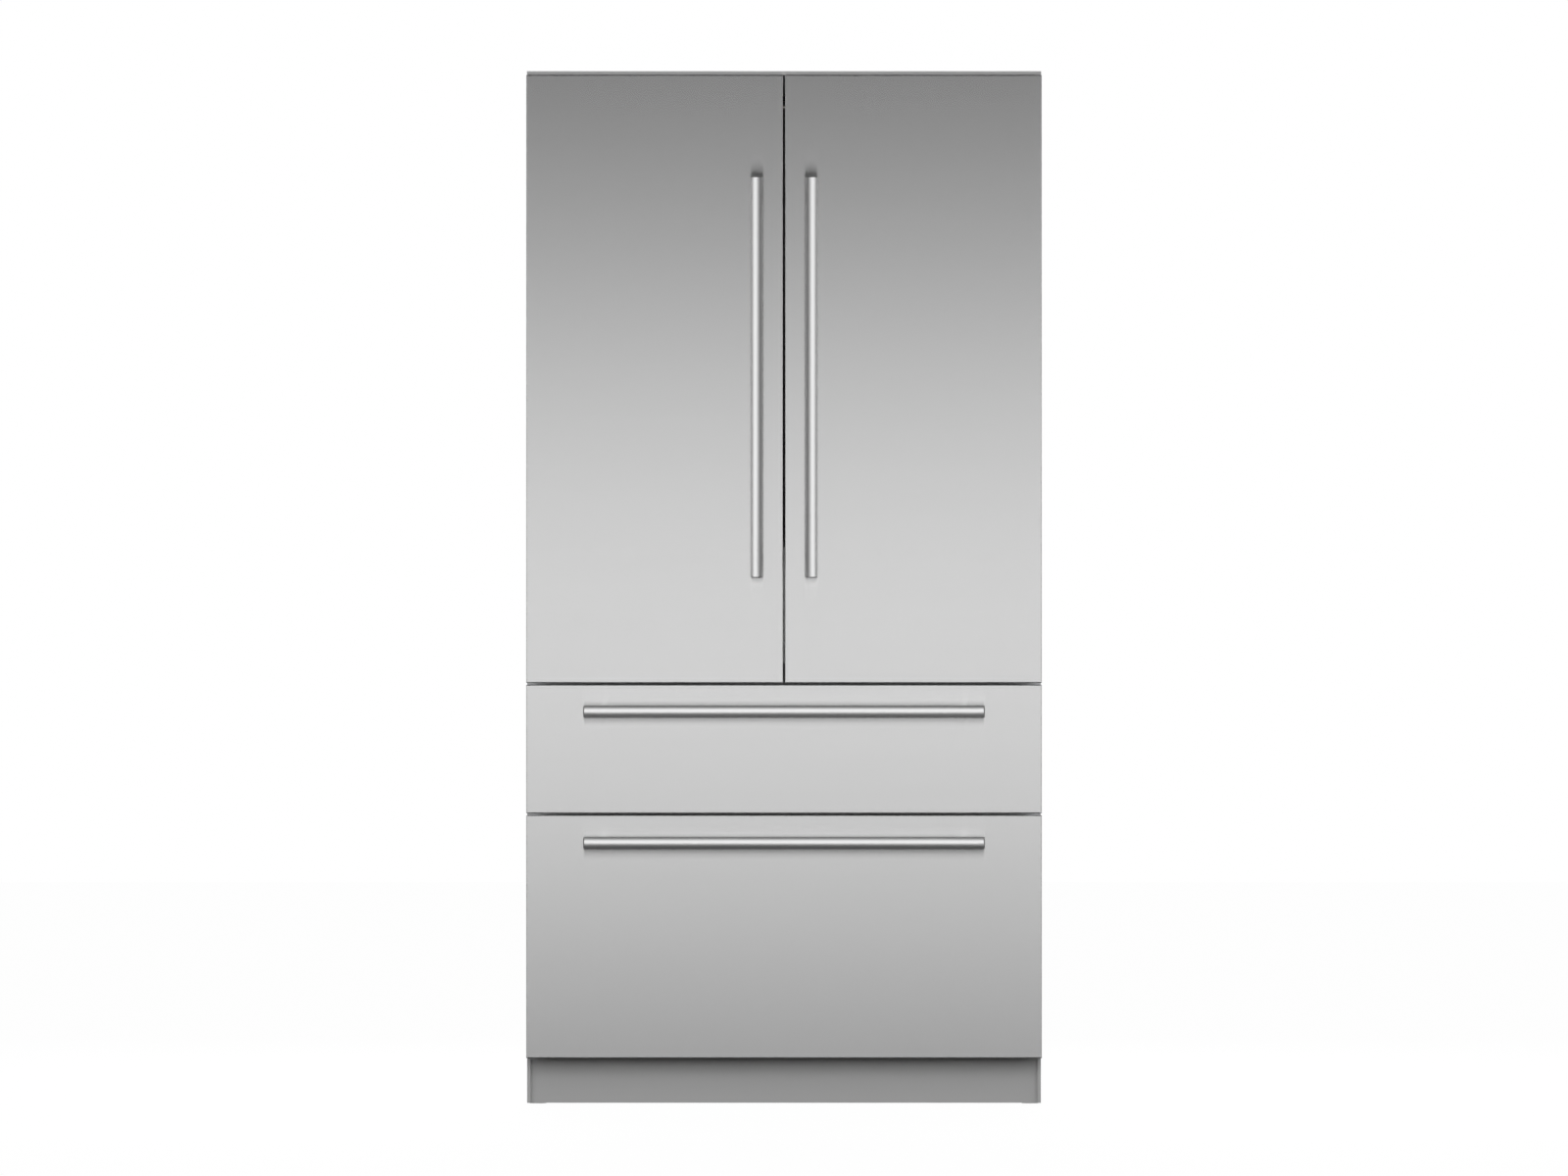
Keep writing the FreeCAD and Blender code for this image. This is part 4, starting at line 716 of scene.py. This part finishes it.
def moulding(name, outline, box, finish, plane="xz"):
    """A section round a rectangle: its points are (inwards, along the third axis)."""
    left, low, right, high = box
    corners = []
    for inward, depth in outline:
        for across, up in ((left + inward, low + inward), (right - inward, low + inward),
                           (right - inward, high - inward), (left + inward, high - inward)):
            spot = (across, depth, up) if plane == "xz" else (across, up, depth)
            corners.append([v * MM for v in spot])
    count = len(outline)
    faces = []
    for i in range(count):
        j = (i + 1) % count
        faces += [(4 * i + c, 4 * i + (c + 1) % 4, 4 * j + (c + 1) % 4, 4 * j + c)
                  for c in range(4)]
    return closed_mesh(name, corners, faces, finish)


print("rings and mouldings ready")

# %% [markdown]
# Screws, lamp chips, louvre blades and grip ribs repeat, so Geometry Nodes place them. A tree
# takes a mesh of loose points, puts one small shape on each and joins the copies. The points
# are where a fitter would mark the holes.

# %% Geometry Nodes: a tree that fills marked points
def new_tree(name, inputs):
    """A geometry tree with a geometry input and output and some named inputs."""
    tree = bpy.data.node_groups.new(name, "GeometryNodeTree")
    tree.interface.new_socket("Points", in_out="INPUT", socket_type="NodeSocketGeometry")
    for label, kind in inputs:
        tree.interface.new_socket(label, in_out="INPUT", socket_type=kind)
    tree.interface.new_socket("Pieces", in_out="OUTPUT", socket_type="NodeSocketGeometry")
    return tree, tree.nodes.new("NodeGroupInput"), tree.nodes.new("NodeGroupOutput")


def finish_tree(tree, given, result, shape, rotation=None):
    """Puts the shape on the points, realizes the copies and sets their finish."""
    copies = tree.nodes.new("GeometryNodeInstanceOnPoints")
    solid = tree.nodes.new("GeometryNodeRealizeInstances")
    coat = tree.nodes.new("GeometryNodeSetMaterial")
    tree.links.new(given.outputs["Points"], copies.inputs["Points"])
    tree.links.new(shape, copies.inputs["Instance"])
    if rotation is not None:
        tree.links.new(rotation, copies.inputs["Rotation"])
    tree.links.new(copies.outputs[0], solid.inputs[0])
    tree.links.new(solid.outputs[0], coat.inputs["Geometry"])
    tree.links.new(given.outputs["Finish"], coat.inputs["Material"])
    tree.links.new(coat.outputs[0], result.inputs[0])


print("tree helpers ready")

# %% [markdown]
# The simplest shape is a block. Its size and turn are inputs of the tree, so that the same
# tree makes grip ribs, lamp chips, touch keys and louvre blades.

# %% Geometry Nodes: blocks on points
block_tree, block_in, block_out = new_tree(
    "blocks_on_points", [("Block Size", "NodeSocketVector"), ("Turn", "NodeSocketRotation"),
                         ("Finish", "NodeSocketMaterial")])
block_shape = block_tree.nodes.new("GeometryNodeMeshCube")
block_tree.links.new(block_in.outputs["Block Size"], block_shape.inputs["Size"])
finish_tree(block_tree, block_in, block_out, block_shape.outputs[0], block_in.outputs["Turn"])
print("tree", block_tree.name)

# %% [markdown]
# A pan head is a disc that is raised, drawn in at the top and sunk in the middle for the
# driver. Each step is an Extrude and a Scale of the new top. A head points along the vector
# that its point carries, so one tree serves screws on any face.

# %% Geometry Nodes: screw heads on points
SCREW_SIDES = 18
TOP_SCALE, SOCKET_SCALE, SOCKET_TAPER, SOCKET_DEPTH = 0.78, 0.5, 0.9, 0.7
screw_tree, screw_in, screw_out = new_tree(
    "screw_heads_on_points",
    [("Head Radius", "NodeSocketFloat"), ("Head Height", "NodeSocketFloat"),
     ("Finish", "NodeSocketMaterial")])


def raised(tree, mesh, height, factor, selection=None):
    """Extrudes faces by a height and scales the new top; gives the mesh and its top."""
    lift = tree.nodes.new("GeometryNodeExtrudeMesh")
    lift.inputs["Individual"].default_value = False
    tree.links.new(mesh, lift.inputs["Mesh"])
    if selection is not None:
        tree.links.new(selection, lift.inputs["Selection"])
    if isinstance(height, (int, float)):
        lift.inputs["Offset Scale"].default_value = height
    else:
        tree.links.new(height, lift.inputs["Offset Scale"])
    shrink = tree.nodes.new("GeometryNodeScaleElements")
    tree.links.new(lift.outputs["Mesh"], shrink.inputs[0])
    tree.links.new(lift.outputs["Top"], shrink.inputs["Selection"])
    shrink.inputs["Scale"].default_value = factor
    return shrink.outputs[0], lift.outputs["Top"]


screw_disc = screw_tree.nodes.new("GeometryNodeMeshCircle")
screw_disc.fill_type = "NGON"
screw_disc.inputs["Vertices"].default_value = SCREW_SIDES
screw_tree.links.new(screw_in.outputs["Head Radius"], screw_disc.inputs["Radius"])
half_height = math_node(screw_tree, "MULTIPLY", screw_in.outputs["Head Height"], 0.5)
sunk = math_node(screw_tree, "MULTIPLY", screw_in.outputs["Head Height"], -SOCKET_DEPTH)
head, top = raised(screw_tree, screw_disc.outputs[0], half_height, 1.0)
head, top = raised(screw_tree, head, half_height, TOP_SCALE, top)
head, top = raised(screw_tree, head, 0.0, SOCKET_SCALE, top)
head, _ = raised(screw_tree, head, sunk, SOCKET_TAPER, top)
screw_base = screw_tree.nodes.new("GeometryNodeFlipFaces")
screw_join = screw_tree.nodes.new("GeometryNodeJoinGeometry")
screw_weld = screw_tree.nodes.new("GeometryNodeMergeByDistance")
screw_weld.inputs["Distance"].default_value = 1e-6
screw_tree.links.new(screw_disc.outputs[0], screw_base.inputs[0])
screw_tree.links.new(screw_base.outputs[0], screw_join.inputs[0])
screw_tree.links.new(head, screw_join.inputs[0])
screw_tree.links.new(screw_join.outputs[0], screw_weld.inputs[0])
facing = screw_tree.nodes.new("GeometryNodeInputNamedAttribute")
facing.data_type = "FLOAT_VECTOR"
facing.inputs["Name"].default_value = "facing"
aim = screw_tree.nodes.new("FunctionNodeAlignRotationToVector")
aim.axis = "Z"
screw_tree.links.new(facing.outputs[0], aim.inputs["Vector"])
finish_tree(screw_tree, screw_in, screw_out, screw_weld.outputs[0], aim.outputs[0])
print("tree", screw_tree.name)

# %% [markdown]
# To use a tree, loose points become a mesh, the tree runs on it as a modifier, and the result
# is taken as a plain mesh. An input is set by its socket's identifier, because two inputs may
# share a name.

# %% Geometry Nodes: run a tree on marked points
def grown(name, points, tree, facings=None, **values):
    """Runs a tree on marked points (mm) and keeps the result as a plain mesh."""
    marks = mesh_object(name, [[v * MM for v in point] for point in points], [])
    if facings:
        attribute = marks.data.attributes.new("facing", "FLOAT_VECTOR", "POINT")
        for item, direction in zip(attribute.data, facings):
            item.vector = direction
    modifier = marks.modifiers.new("placed", "NODES")
    modifier.node_group = tree
    for item in tree.interface.items_tree:
        if item.in_out == "INPUT" and item.name.replace(" ", "_") in values:
            modifier[item.identifier] = values[item.name.replace(" ", "_")]
    depsgraph = bpy.context.evaluated_depsgraph_get()
    plain = bpy.data.meshes.new_from_object(marks.evaluated_get(depsgraph))
    marks.modifiers.clear()
    marks.data = plain
    print(name, len(points), "places,", len(plain.polygons), "faces")
    return marks


print("ready to fill marked points")

# %% [markdown]
# Each bar stands on two posts, and a thin collar covers the hole in the steel where a post is
# screwed on from behind. A collar is a turned ring, so its outline is spun about the post.
# The posts stand a little way in from the bar's ends, which the frame gives.

# %% Handle collars
COLLAR = [(8.0, 0.0), (8.0, -2.2), (10.2, -2.2), (11.6, -1.6), (12.0, -0.8), (12.0, 0.0)]
POST_INSET = 42.0
BODY_OF = {"left": "left_door", "right": "right_door",
           "upper": "upper_drawer", "lower": "lower_drawer"}
for front in FRONTS:
    left, _, low, right, face, high = box_mm(f"{front}_handle")
    if front in DOORS:
        posts = [((left + right) / 2, face, z) for z in (low + POST_INSET, high - POST_INSET)]
    else:
        posts = [(x, face, (low + high) / 2) for x in (left + POST_INSET, right - POST_INSET)]
    collars = turned(f"{BODY_OF[front]}_handle_collars", COLLAR, posts, "y", face_steel)
    kept(collars, BODY_OF[front])
    print(collars.name, [[round(v, 1) for v in post] for post in posts])

# %% [markdown]
# A door gasket is not a flat ribbon. It has a dart that snaps into the door, a bellows that
# lets it move, and a soft tube round a magnet that lands on the cabinet. The section below
# stays inside the room that the CAD keeps for it and replaces the plain CAD ring.

# %% Gaskets
GASKET = [(0.4, -203.5), (0.0, -202.9), (0.9, -202.2), (0.1, -201.4), (0.9, -200.7), (0.3, -199.9),
          (1.2, -199.1), (2.6, -198.8), (9.4, -198.8), (10.8, -199.1), (11.7, -199.9),
          (11.1, -200.7), (11.9, -201.4), (11.1, -202.2), (12.0, -202.9), (11.6, -203.5)]
for front in FRONTS:
    left, _, low, right, _, high = box_mm(f"{front}_gasket")
    seal = moulding(f"{front}_bellows_gasket", GASKET, (left, low, right, high), gasket_rubber)
    kept(seal, BODY_OF[front])
    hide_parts(f"{front}_gasket")
print("gaskets", list(FRONTS))

# %% [markdown]
# The glass shelves have a moulded front edge that hides the cut glass and catches drips, and
# a low stop along the back. The glass over the crispers has the same edge. Outlines are given
# from the glass's own front or back edge and underside, so they follow the shelf.

# %% Shelf edges
GLASS = 5.0
EDGE = [(-3.5, -4.0), (-3.5, 7.5), (-1.0, 9.0), (9.0, 9.0), (9.0, 5.4), (0.6, 5.4),
        (0.6, -0.4), (9.0, -0.4), (9.0, -4.0)]
BACK_STOP = [(-6.0, 5.1), (-6.0, 12.0), (-4.0, 13.0), (-0.5, 13.0), (-0.5, 5.1)]
EDGE_INSET, STOP_INSET = 1.5, 19.5
for name in ("shelf_lower", "shelf_upper", "crisper_cover"):
    left, near, _, right, far, top = box_mm(name)
    for part, outline, start, inset in (("front_edge", EDGE, near, EDGE_INSET),
                                        ("back_stop", BACK_STOP, far, STOP_INSET)):
        edge = bar(f"{name}_{part}", moved(outline, start, top - GLASS), "x",
                   left + inset, right - inset, liner_white)
        kept(edge, "cabinet", bevel=0.5)
    print(name, "glass underside at", top - GLASS)

# %% [markdown]
# Two small knobs in front of the crispers' cover open its air slots. They sit on the moulded
# edge, one near the middle of each crisper.

# %% Air slides
KNOB = [(-5.6, 0.6), (-5.6, 6.6), (-3.4, 7.0), (-3.4, 0.2)]
KNOB_STRETCH = (240.0, 270.0)
_, cover_front, _, _, _, cover_top = box_mm("crisper_cover")
for side, way in (("left", -1), ("right", 1)):
    knob = bar(f"{side}_air_slide", moved(KNOB, cover_front, cover_top - GLASS), "x",
               *mirrored(way, *KNOB_STRETCH), duct_grey)
    kept(knob, "cabinet", bevel=0.6)
print("air slides at", cover_front, cover_top)

# %% [markdown]
# A door rack is clear so that one sees what it holds, and its front wall carries a white rail
# for stiffness. The rail is a channel pressed over the wall's top edge.

# %% Rack rails
RAIL = [(-4.7, -14.0), (-4.7, 1.6), (-3.7, 2.4), (0.5, 2.4), (1.5, 1.6), (1.5, -14.0),
        (0.2, -14.0), (0.2, -0.2), (-3.3, -0.2), (-3.3, -14.0)]
RACK_WALL_HEIGHT, RAIL_INSET = 94.0, 1.0
for door in DOORS:
    for rack in RACKS:
        left, _, low, right, wall, _ = box_mm(f"{door}_rack_{rack}")
        rail = bar(f"{door}_{rack}_rack_rail", moved(RAIL, wall, low + RACK_WALL_HEIGHT), "x",
                   left + RAIL_INSET, right - RAIL_INSET, bin_white)
        kept(rail, f"{door}_door", bevel=0.4)
    print(door, "rack rails on", RACKS)

# %% [markdown]
# The crispers are pulled by a turned-over grip. A band across it hides the moulding's edge,
# and a row of small ribs under the band keeps wet fingers from slipping.

# %% Crisper grips
BAND = [(-1.4, -12.4), (-1.4, 0.6), (-0.6, 1.2), (13.0, 1.2), (13.0, 0.3), (-0.1, 0.3),
        (-0.1, -12.4)]
BAND_INSET = 1.0
RIB_PITCH, RIB_COUNT = 4.0, 40
RIB_FROM_FRONT, RIB_FROM_TOP = -0.4, -19.9
for side in DOORS:
    left, near, _, right, _, top = box_mm(f"crisper_{side}")
    band = bar(f"crisper_{side}_band", moved(BAND, near, top), "x",
               left + BAND_INSET, right - BAND_INSET, bin_white)
    kept(band, f"{side}_crisper", bevel=0.3)
    ribs = grown(f"crisper_{side}_grip_ribs",
                 [(x, near + RIB_FROM_FRONT, top + RIB_FROM_TOP)
                  for x in centred(left, right, RIB_PITCH, RIB_COUNT)],
                 block_tree, Block_Size=(1.4 * MM, 1.0 * MM, 12.0 * MM), Finish=bin_white)
    kept(ribs, f"{side}_crisper")

# %% [markdown]
# Light comes from two slim lamps under the ceiling and from a lens under the touch panel. A
# lens glows unevenly, because there are chips behind it, so its finish is the uneven skin
# again, this time on the emission.

# %% Lamp finishes
def lit(name, colour, strength):
    """A frosted lens with its own, slightly uneven light."""
    material, tree, shader = new_material(name, Roughness=0.35, Emission_Strength=strength)
    skin = use_group(tree, skin_group, Grain_Size=0.008, Mottle_Size=0.02)
    varied(tree, skin.outputs["Mottle"], colour, 0.85, 1.0, shader.inputs["Emission Color"])
    two_colours(tree, skin.outputs["Grain"], grey(0.82), grey(0.9), shader.inputs["Base Color"])
    return material


lamp_lens = lit("lamp_lens", (1.0, 0.97, 0.93), 0.25)
lamp_chip = lit("lamp_chip", (1.0, 0.9, 0.7), 0.4)
print("lamp finishes", lamp_lens.name, lamp_chip.name)

# %% [markdown]
# Each lamp is a white channel with a frosted lens, just behind the doors' rims. The chips are
# a row, so they are placed by Geometry Nodes.

# %% Ceiling lamps
LAMP_MIDDLE, LAMP_STRETCH = -140.0, (150.0, 420.0)
CEILING = box_mm("control_panel")[5] - 0.1           # a hair of air under the liner
HOUSING = [(-12.0, 0.0), (-12.0, -5.5), (-10.5, -6.5), (-9.0, -6.5), (-9.0, -3.0), (9.0, -3.0),
           (9.0, -6.5), (10.5, -6.5), (12.0, -5.5), (12.0, 0.0)]
LENS = [(-8.8, -3.1), (-8.8, -5.4), (-6.0, -6.6), (6.0, -6.6), (8.8, -5.4), (8.8, -3.1)]
LENS_INSET = 3.0
CHIP_PITCH, CHIP_COUNT, CHIP_DROP = 16.0, 16, -6.8
for side, way in (("left", -1), ("right", 1)):
    low, high = mirrored(way, *LAMP_STRETCH)
    for part, outline, inset, finish in (("housing", HOUSING, 0.0, liner_white),
                                         ("lens", LENS, LENS_INSET, lamp_lens)):
        lamp = bar(f"{side}_lamp_{part}", moved(outline, LAMP_MIDDLE, CEILING), "x",
                   low + inset, high - inset, finish)
        kept(lamp, "cabinet", bevel=0.4)
    chips = grown(f"{side}_lamp_chips",
                  [(x, LAMP_MIDDLE, CEILING + CHIP_DROP)
                   for x in centred(low, high, CHIP_PITCH, CHIP_COUNT)],
                  block_tree, Block_Size=(3.0 * MM, 3.0 * MM, 0.4 * MM), Finish=lamp_chip)
    kept(chips, "cabinet")

# %% [markdown]
# The touch panel slopes at 45 degrees under the ceiling. It carries a row of small printed
# keys, and a lens on its underside lights the shelves.

# %% Touch panel
PANEL_LENS = [(-74.0, -0.1), (-74.0, -1.0), (-72.0, -2.0), (-24.0, -2.0), (-22.0, -1.0),
              (-22.0, -0.1)]
PANEL_LENS_HALF = 118.0
KEYS = [-90.0, -60.0, -20.0, 0.0, 20.0, 60.0, 90.0]
KEY_UP_SLOPE = 9.85
_, panel_front, panel_low, _, _, _ = box_mm("control_panel")
panel_lens = bar("touch_panel_lens", moved(PANEL_LENS, 0.0, panel_low), "x",
                 -PANEL_LENS_HALF, PANEL_LENS_HALF, lamp_lens)
kept(panel_lens, "cabinet", bevel=0.3)
key_print = moulded("key_print", (0.55, 0.56, 0.57), 0.3)
keys = grown("touch_keys",
             [(x, panel_front + KEY_UP_SLOPE, panel_low + KEY_UP_SLOPE) for x in KEYS],
             block_tree, Block_Size=(5.0 * MM, 1.2 * MM, 0.4 * MM),
             Turn=(math.radians(-45), 0.0, 0.0), Finish=key_print)
kept(keys, "cabinet")

# %% [markdown]
# The hinge brackets are screwed to the cabinet's front with two screws each, and the slides'
# inner members are screwed to the bins, six a side. Both rows come from the screw tree; only
# the direction of the heads and their size differ.

# %% Screws
HINGE_SCREW_ACROSS = (474.0, 506.0)
HINGE_SCREW_LEVELS = (873.6, 2111.4)
HINGE_PLATE_FRONT = -201.5
SLIDE_SCREW_FIRST, SLIDE_SCREW_PITCH, SLIDE_SCREW_COUNT = -165.0, 78.0, 6
SLIDE_SCREW_ACROSS = 465.2
screw_metal = plated("screw_metal", (0.55, 0.56, 0.57), 0.3, 0.003)
spots = [(side * x, HINGE_PLATE_FRONT, z) for side in (-1, 1) for x in HINGE_SCREW_ACROSS
         for z in HINGE_SCREW_LEVELS]
hinge_screws = grown("hinge_screws", spots, screw_tree, facings=[(0, -1, 0)] * len(spots),
                     Head_Radius=2.9 * MM, Head_Height=1.6 * MM, Finish=screw_metal)
kept(hinge_screws, "cabinet")
for drawer in DRAWERS:
    _, _, low, _, _, high = box_mm(f"{drawer}_slide_inners")
    middle = (low + high) / 2
    spots = [(side * SLIDE_SCREW_ACROSS, SLIDE_SCREW_FIRST + SLIDE_SCREW_PITCH * i, middle)
             for side in (-1, 1) for i in range(SLIDE_SCREW_COUNT)]
    outwards = [(math.copysign(1, spot[0]), 0, 0) for spot in spots]
    slide_screws = grown(f"{drawer}_slide_screws", spots, screw_tree, facings=outwards,
                         Head_Radius=4.2 * MM, Head_Height=2.0 * MM, Finish=screw_metal)
    kept(slide_screws, f"{drawer}_drawer")

# %% [markdown]
# The back sheet has slots over the machinery, and behind every slot a sloping blade keeps
# fingers out and turns the warm air down. The blades are one row of blocks for each column.

# %% Louvre blades
LOUVRE_COLUMNS = (-220.0, -20.0, 180.0)
LOUVRE_LOW, LOUVRE_PITCH, LOUVRE_ROWS = 94.0, 24.0, 8
BLADE_DEPTH_PLACE = 331.0
blade_spots = [(x, BLADE_DEPTH_PLACE, LOUVRE_LOW + LOUVRE_PITCH * row)
               for x in LOUVRE_COLUMNS for row in range(LOUVRE_ROWS)]
blades = grown("louvre_blades", blade_spots, block_tree,
               Block_Size=(160.0 * MM, 0.8 * MM, 11.0 * MM),
               Turn=(math.radians(-35), 0.0, 0.0), Finish=zinc_sheet)
kept(blades, "cabinet")

# %% [markdown]
# The folding mullion closes the gap between the doors. It carries a thin strip of magnetic
# steel on the face that meets the gaskets once it has turned out.

# %% Mullion strip
STRIP_THICKNESS = 0.24
STRIP_FRONT, STRIP_BACK, STRIP_LOW, STRIP_HIGH = -186.0, -127.0, 930.0, 2055.0
strip_face = box_mm("mullion_flap")[3]
strip = bar("mullion_steel_strip",
            [(strip_face, STRIP_FRONT), (strip_face + STRIP_THICKNESS, STRIP_FRONT),
             (strip_face + STRIP_THICKNESS, STRIP_BACK), (strip_face, STRIP_BACK)],
            "z", STRIP_LOW, STRIP_HIGH, face_steel)
kept(strip, "mullion")
print("mullion strip", len(strip.data.vertices), "corners")

# %% [markdown]
# The freezer bins are thin plastic, so their rims are folded over. A channel moulding round
# the top edge gives that fold, and it is what one sees first when a drawer is out.

# %% Bin rims
RIM_FOLD = [(-1.4, 1.2), (-2.0, 0.4), (-2.0, -9.0), (-0.2, -9.0), (-0.2, -0.6), (2.7, -0.6),
            (2.7, -9.0), (4.2, -9.0), (4.2, 0.4), (3.6, 1.2)]
RIM_FROM_DOOR = 2.5                          # the fold stays clear of the door's core
for drawer in DRAWERS:
    left, near, _, right, far, top = box_mm(f"{drawer}_bin")
    rim = moulding(f"{drawer}_bin_rim", [(inwards, top + z) for inwards, z in RIM_FOLD],
                   (left, near + RIM_FROM_DOOR, right, far), bin_white, plane="xy")
    kept(rim, f"{drawer}_drawer", bevel=0.3)
print("bin rims", list(DRAWERS))

# %% [markdown]
# With the doors open, the inside would look dim beside the steel, because the studio's strip
# is made for the doors. Two last soft panels light only what is inside, from in front and
# above, one from each side so that no rack throws a hard shadow.

# %% Light for the inside
OUTSIDE = ["_panel", "_handle", "top_trim", "toe_kick", "cabinet_shell", "rear_cover",
           "levelling_feet", "collars"]
inside = [made for made in scene.objects if made.type == "MESH" and made is not floor
          and not any(word in made.name for word in OUTSIDE)]
for side, way in (("left", -1), ("right", 1)):
    soft_light(f"{side}_inside_fill", (way * 2.8, -3.6, 2.4), (0.0, 0.0, 1.1), (1.8, 2.4), 55.0,
               only=inside)
print("inside pieces", len(inside))

# %% [markdown]
# The dressed model must be as large as the CAD model, so the box round every piece that
# renders, the floor left out, is printed.

# %% Print the dressed model's box
low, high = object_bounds()
print("visual", [round(v, 4) for v in (*low, *high)])
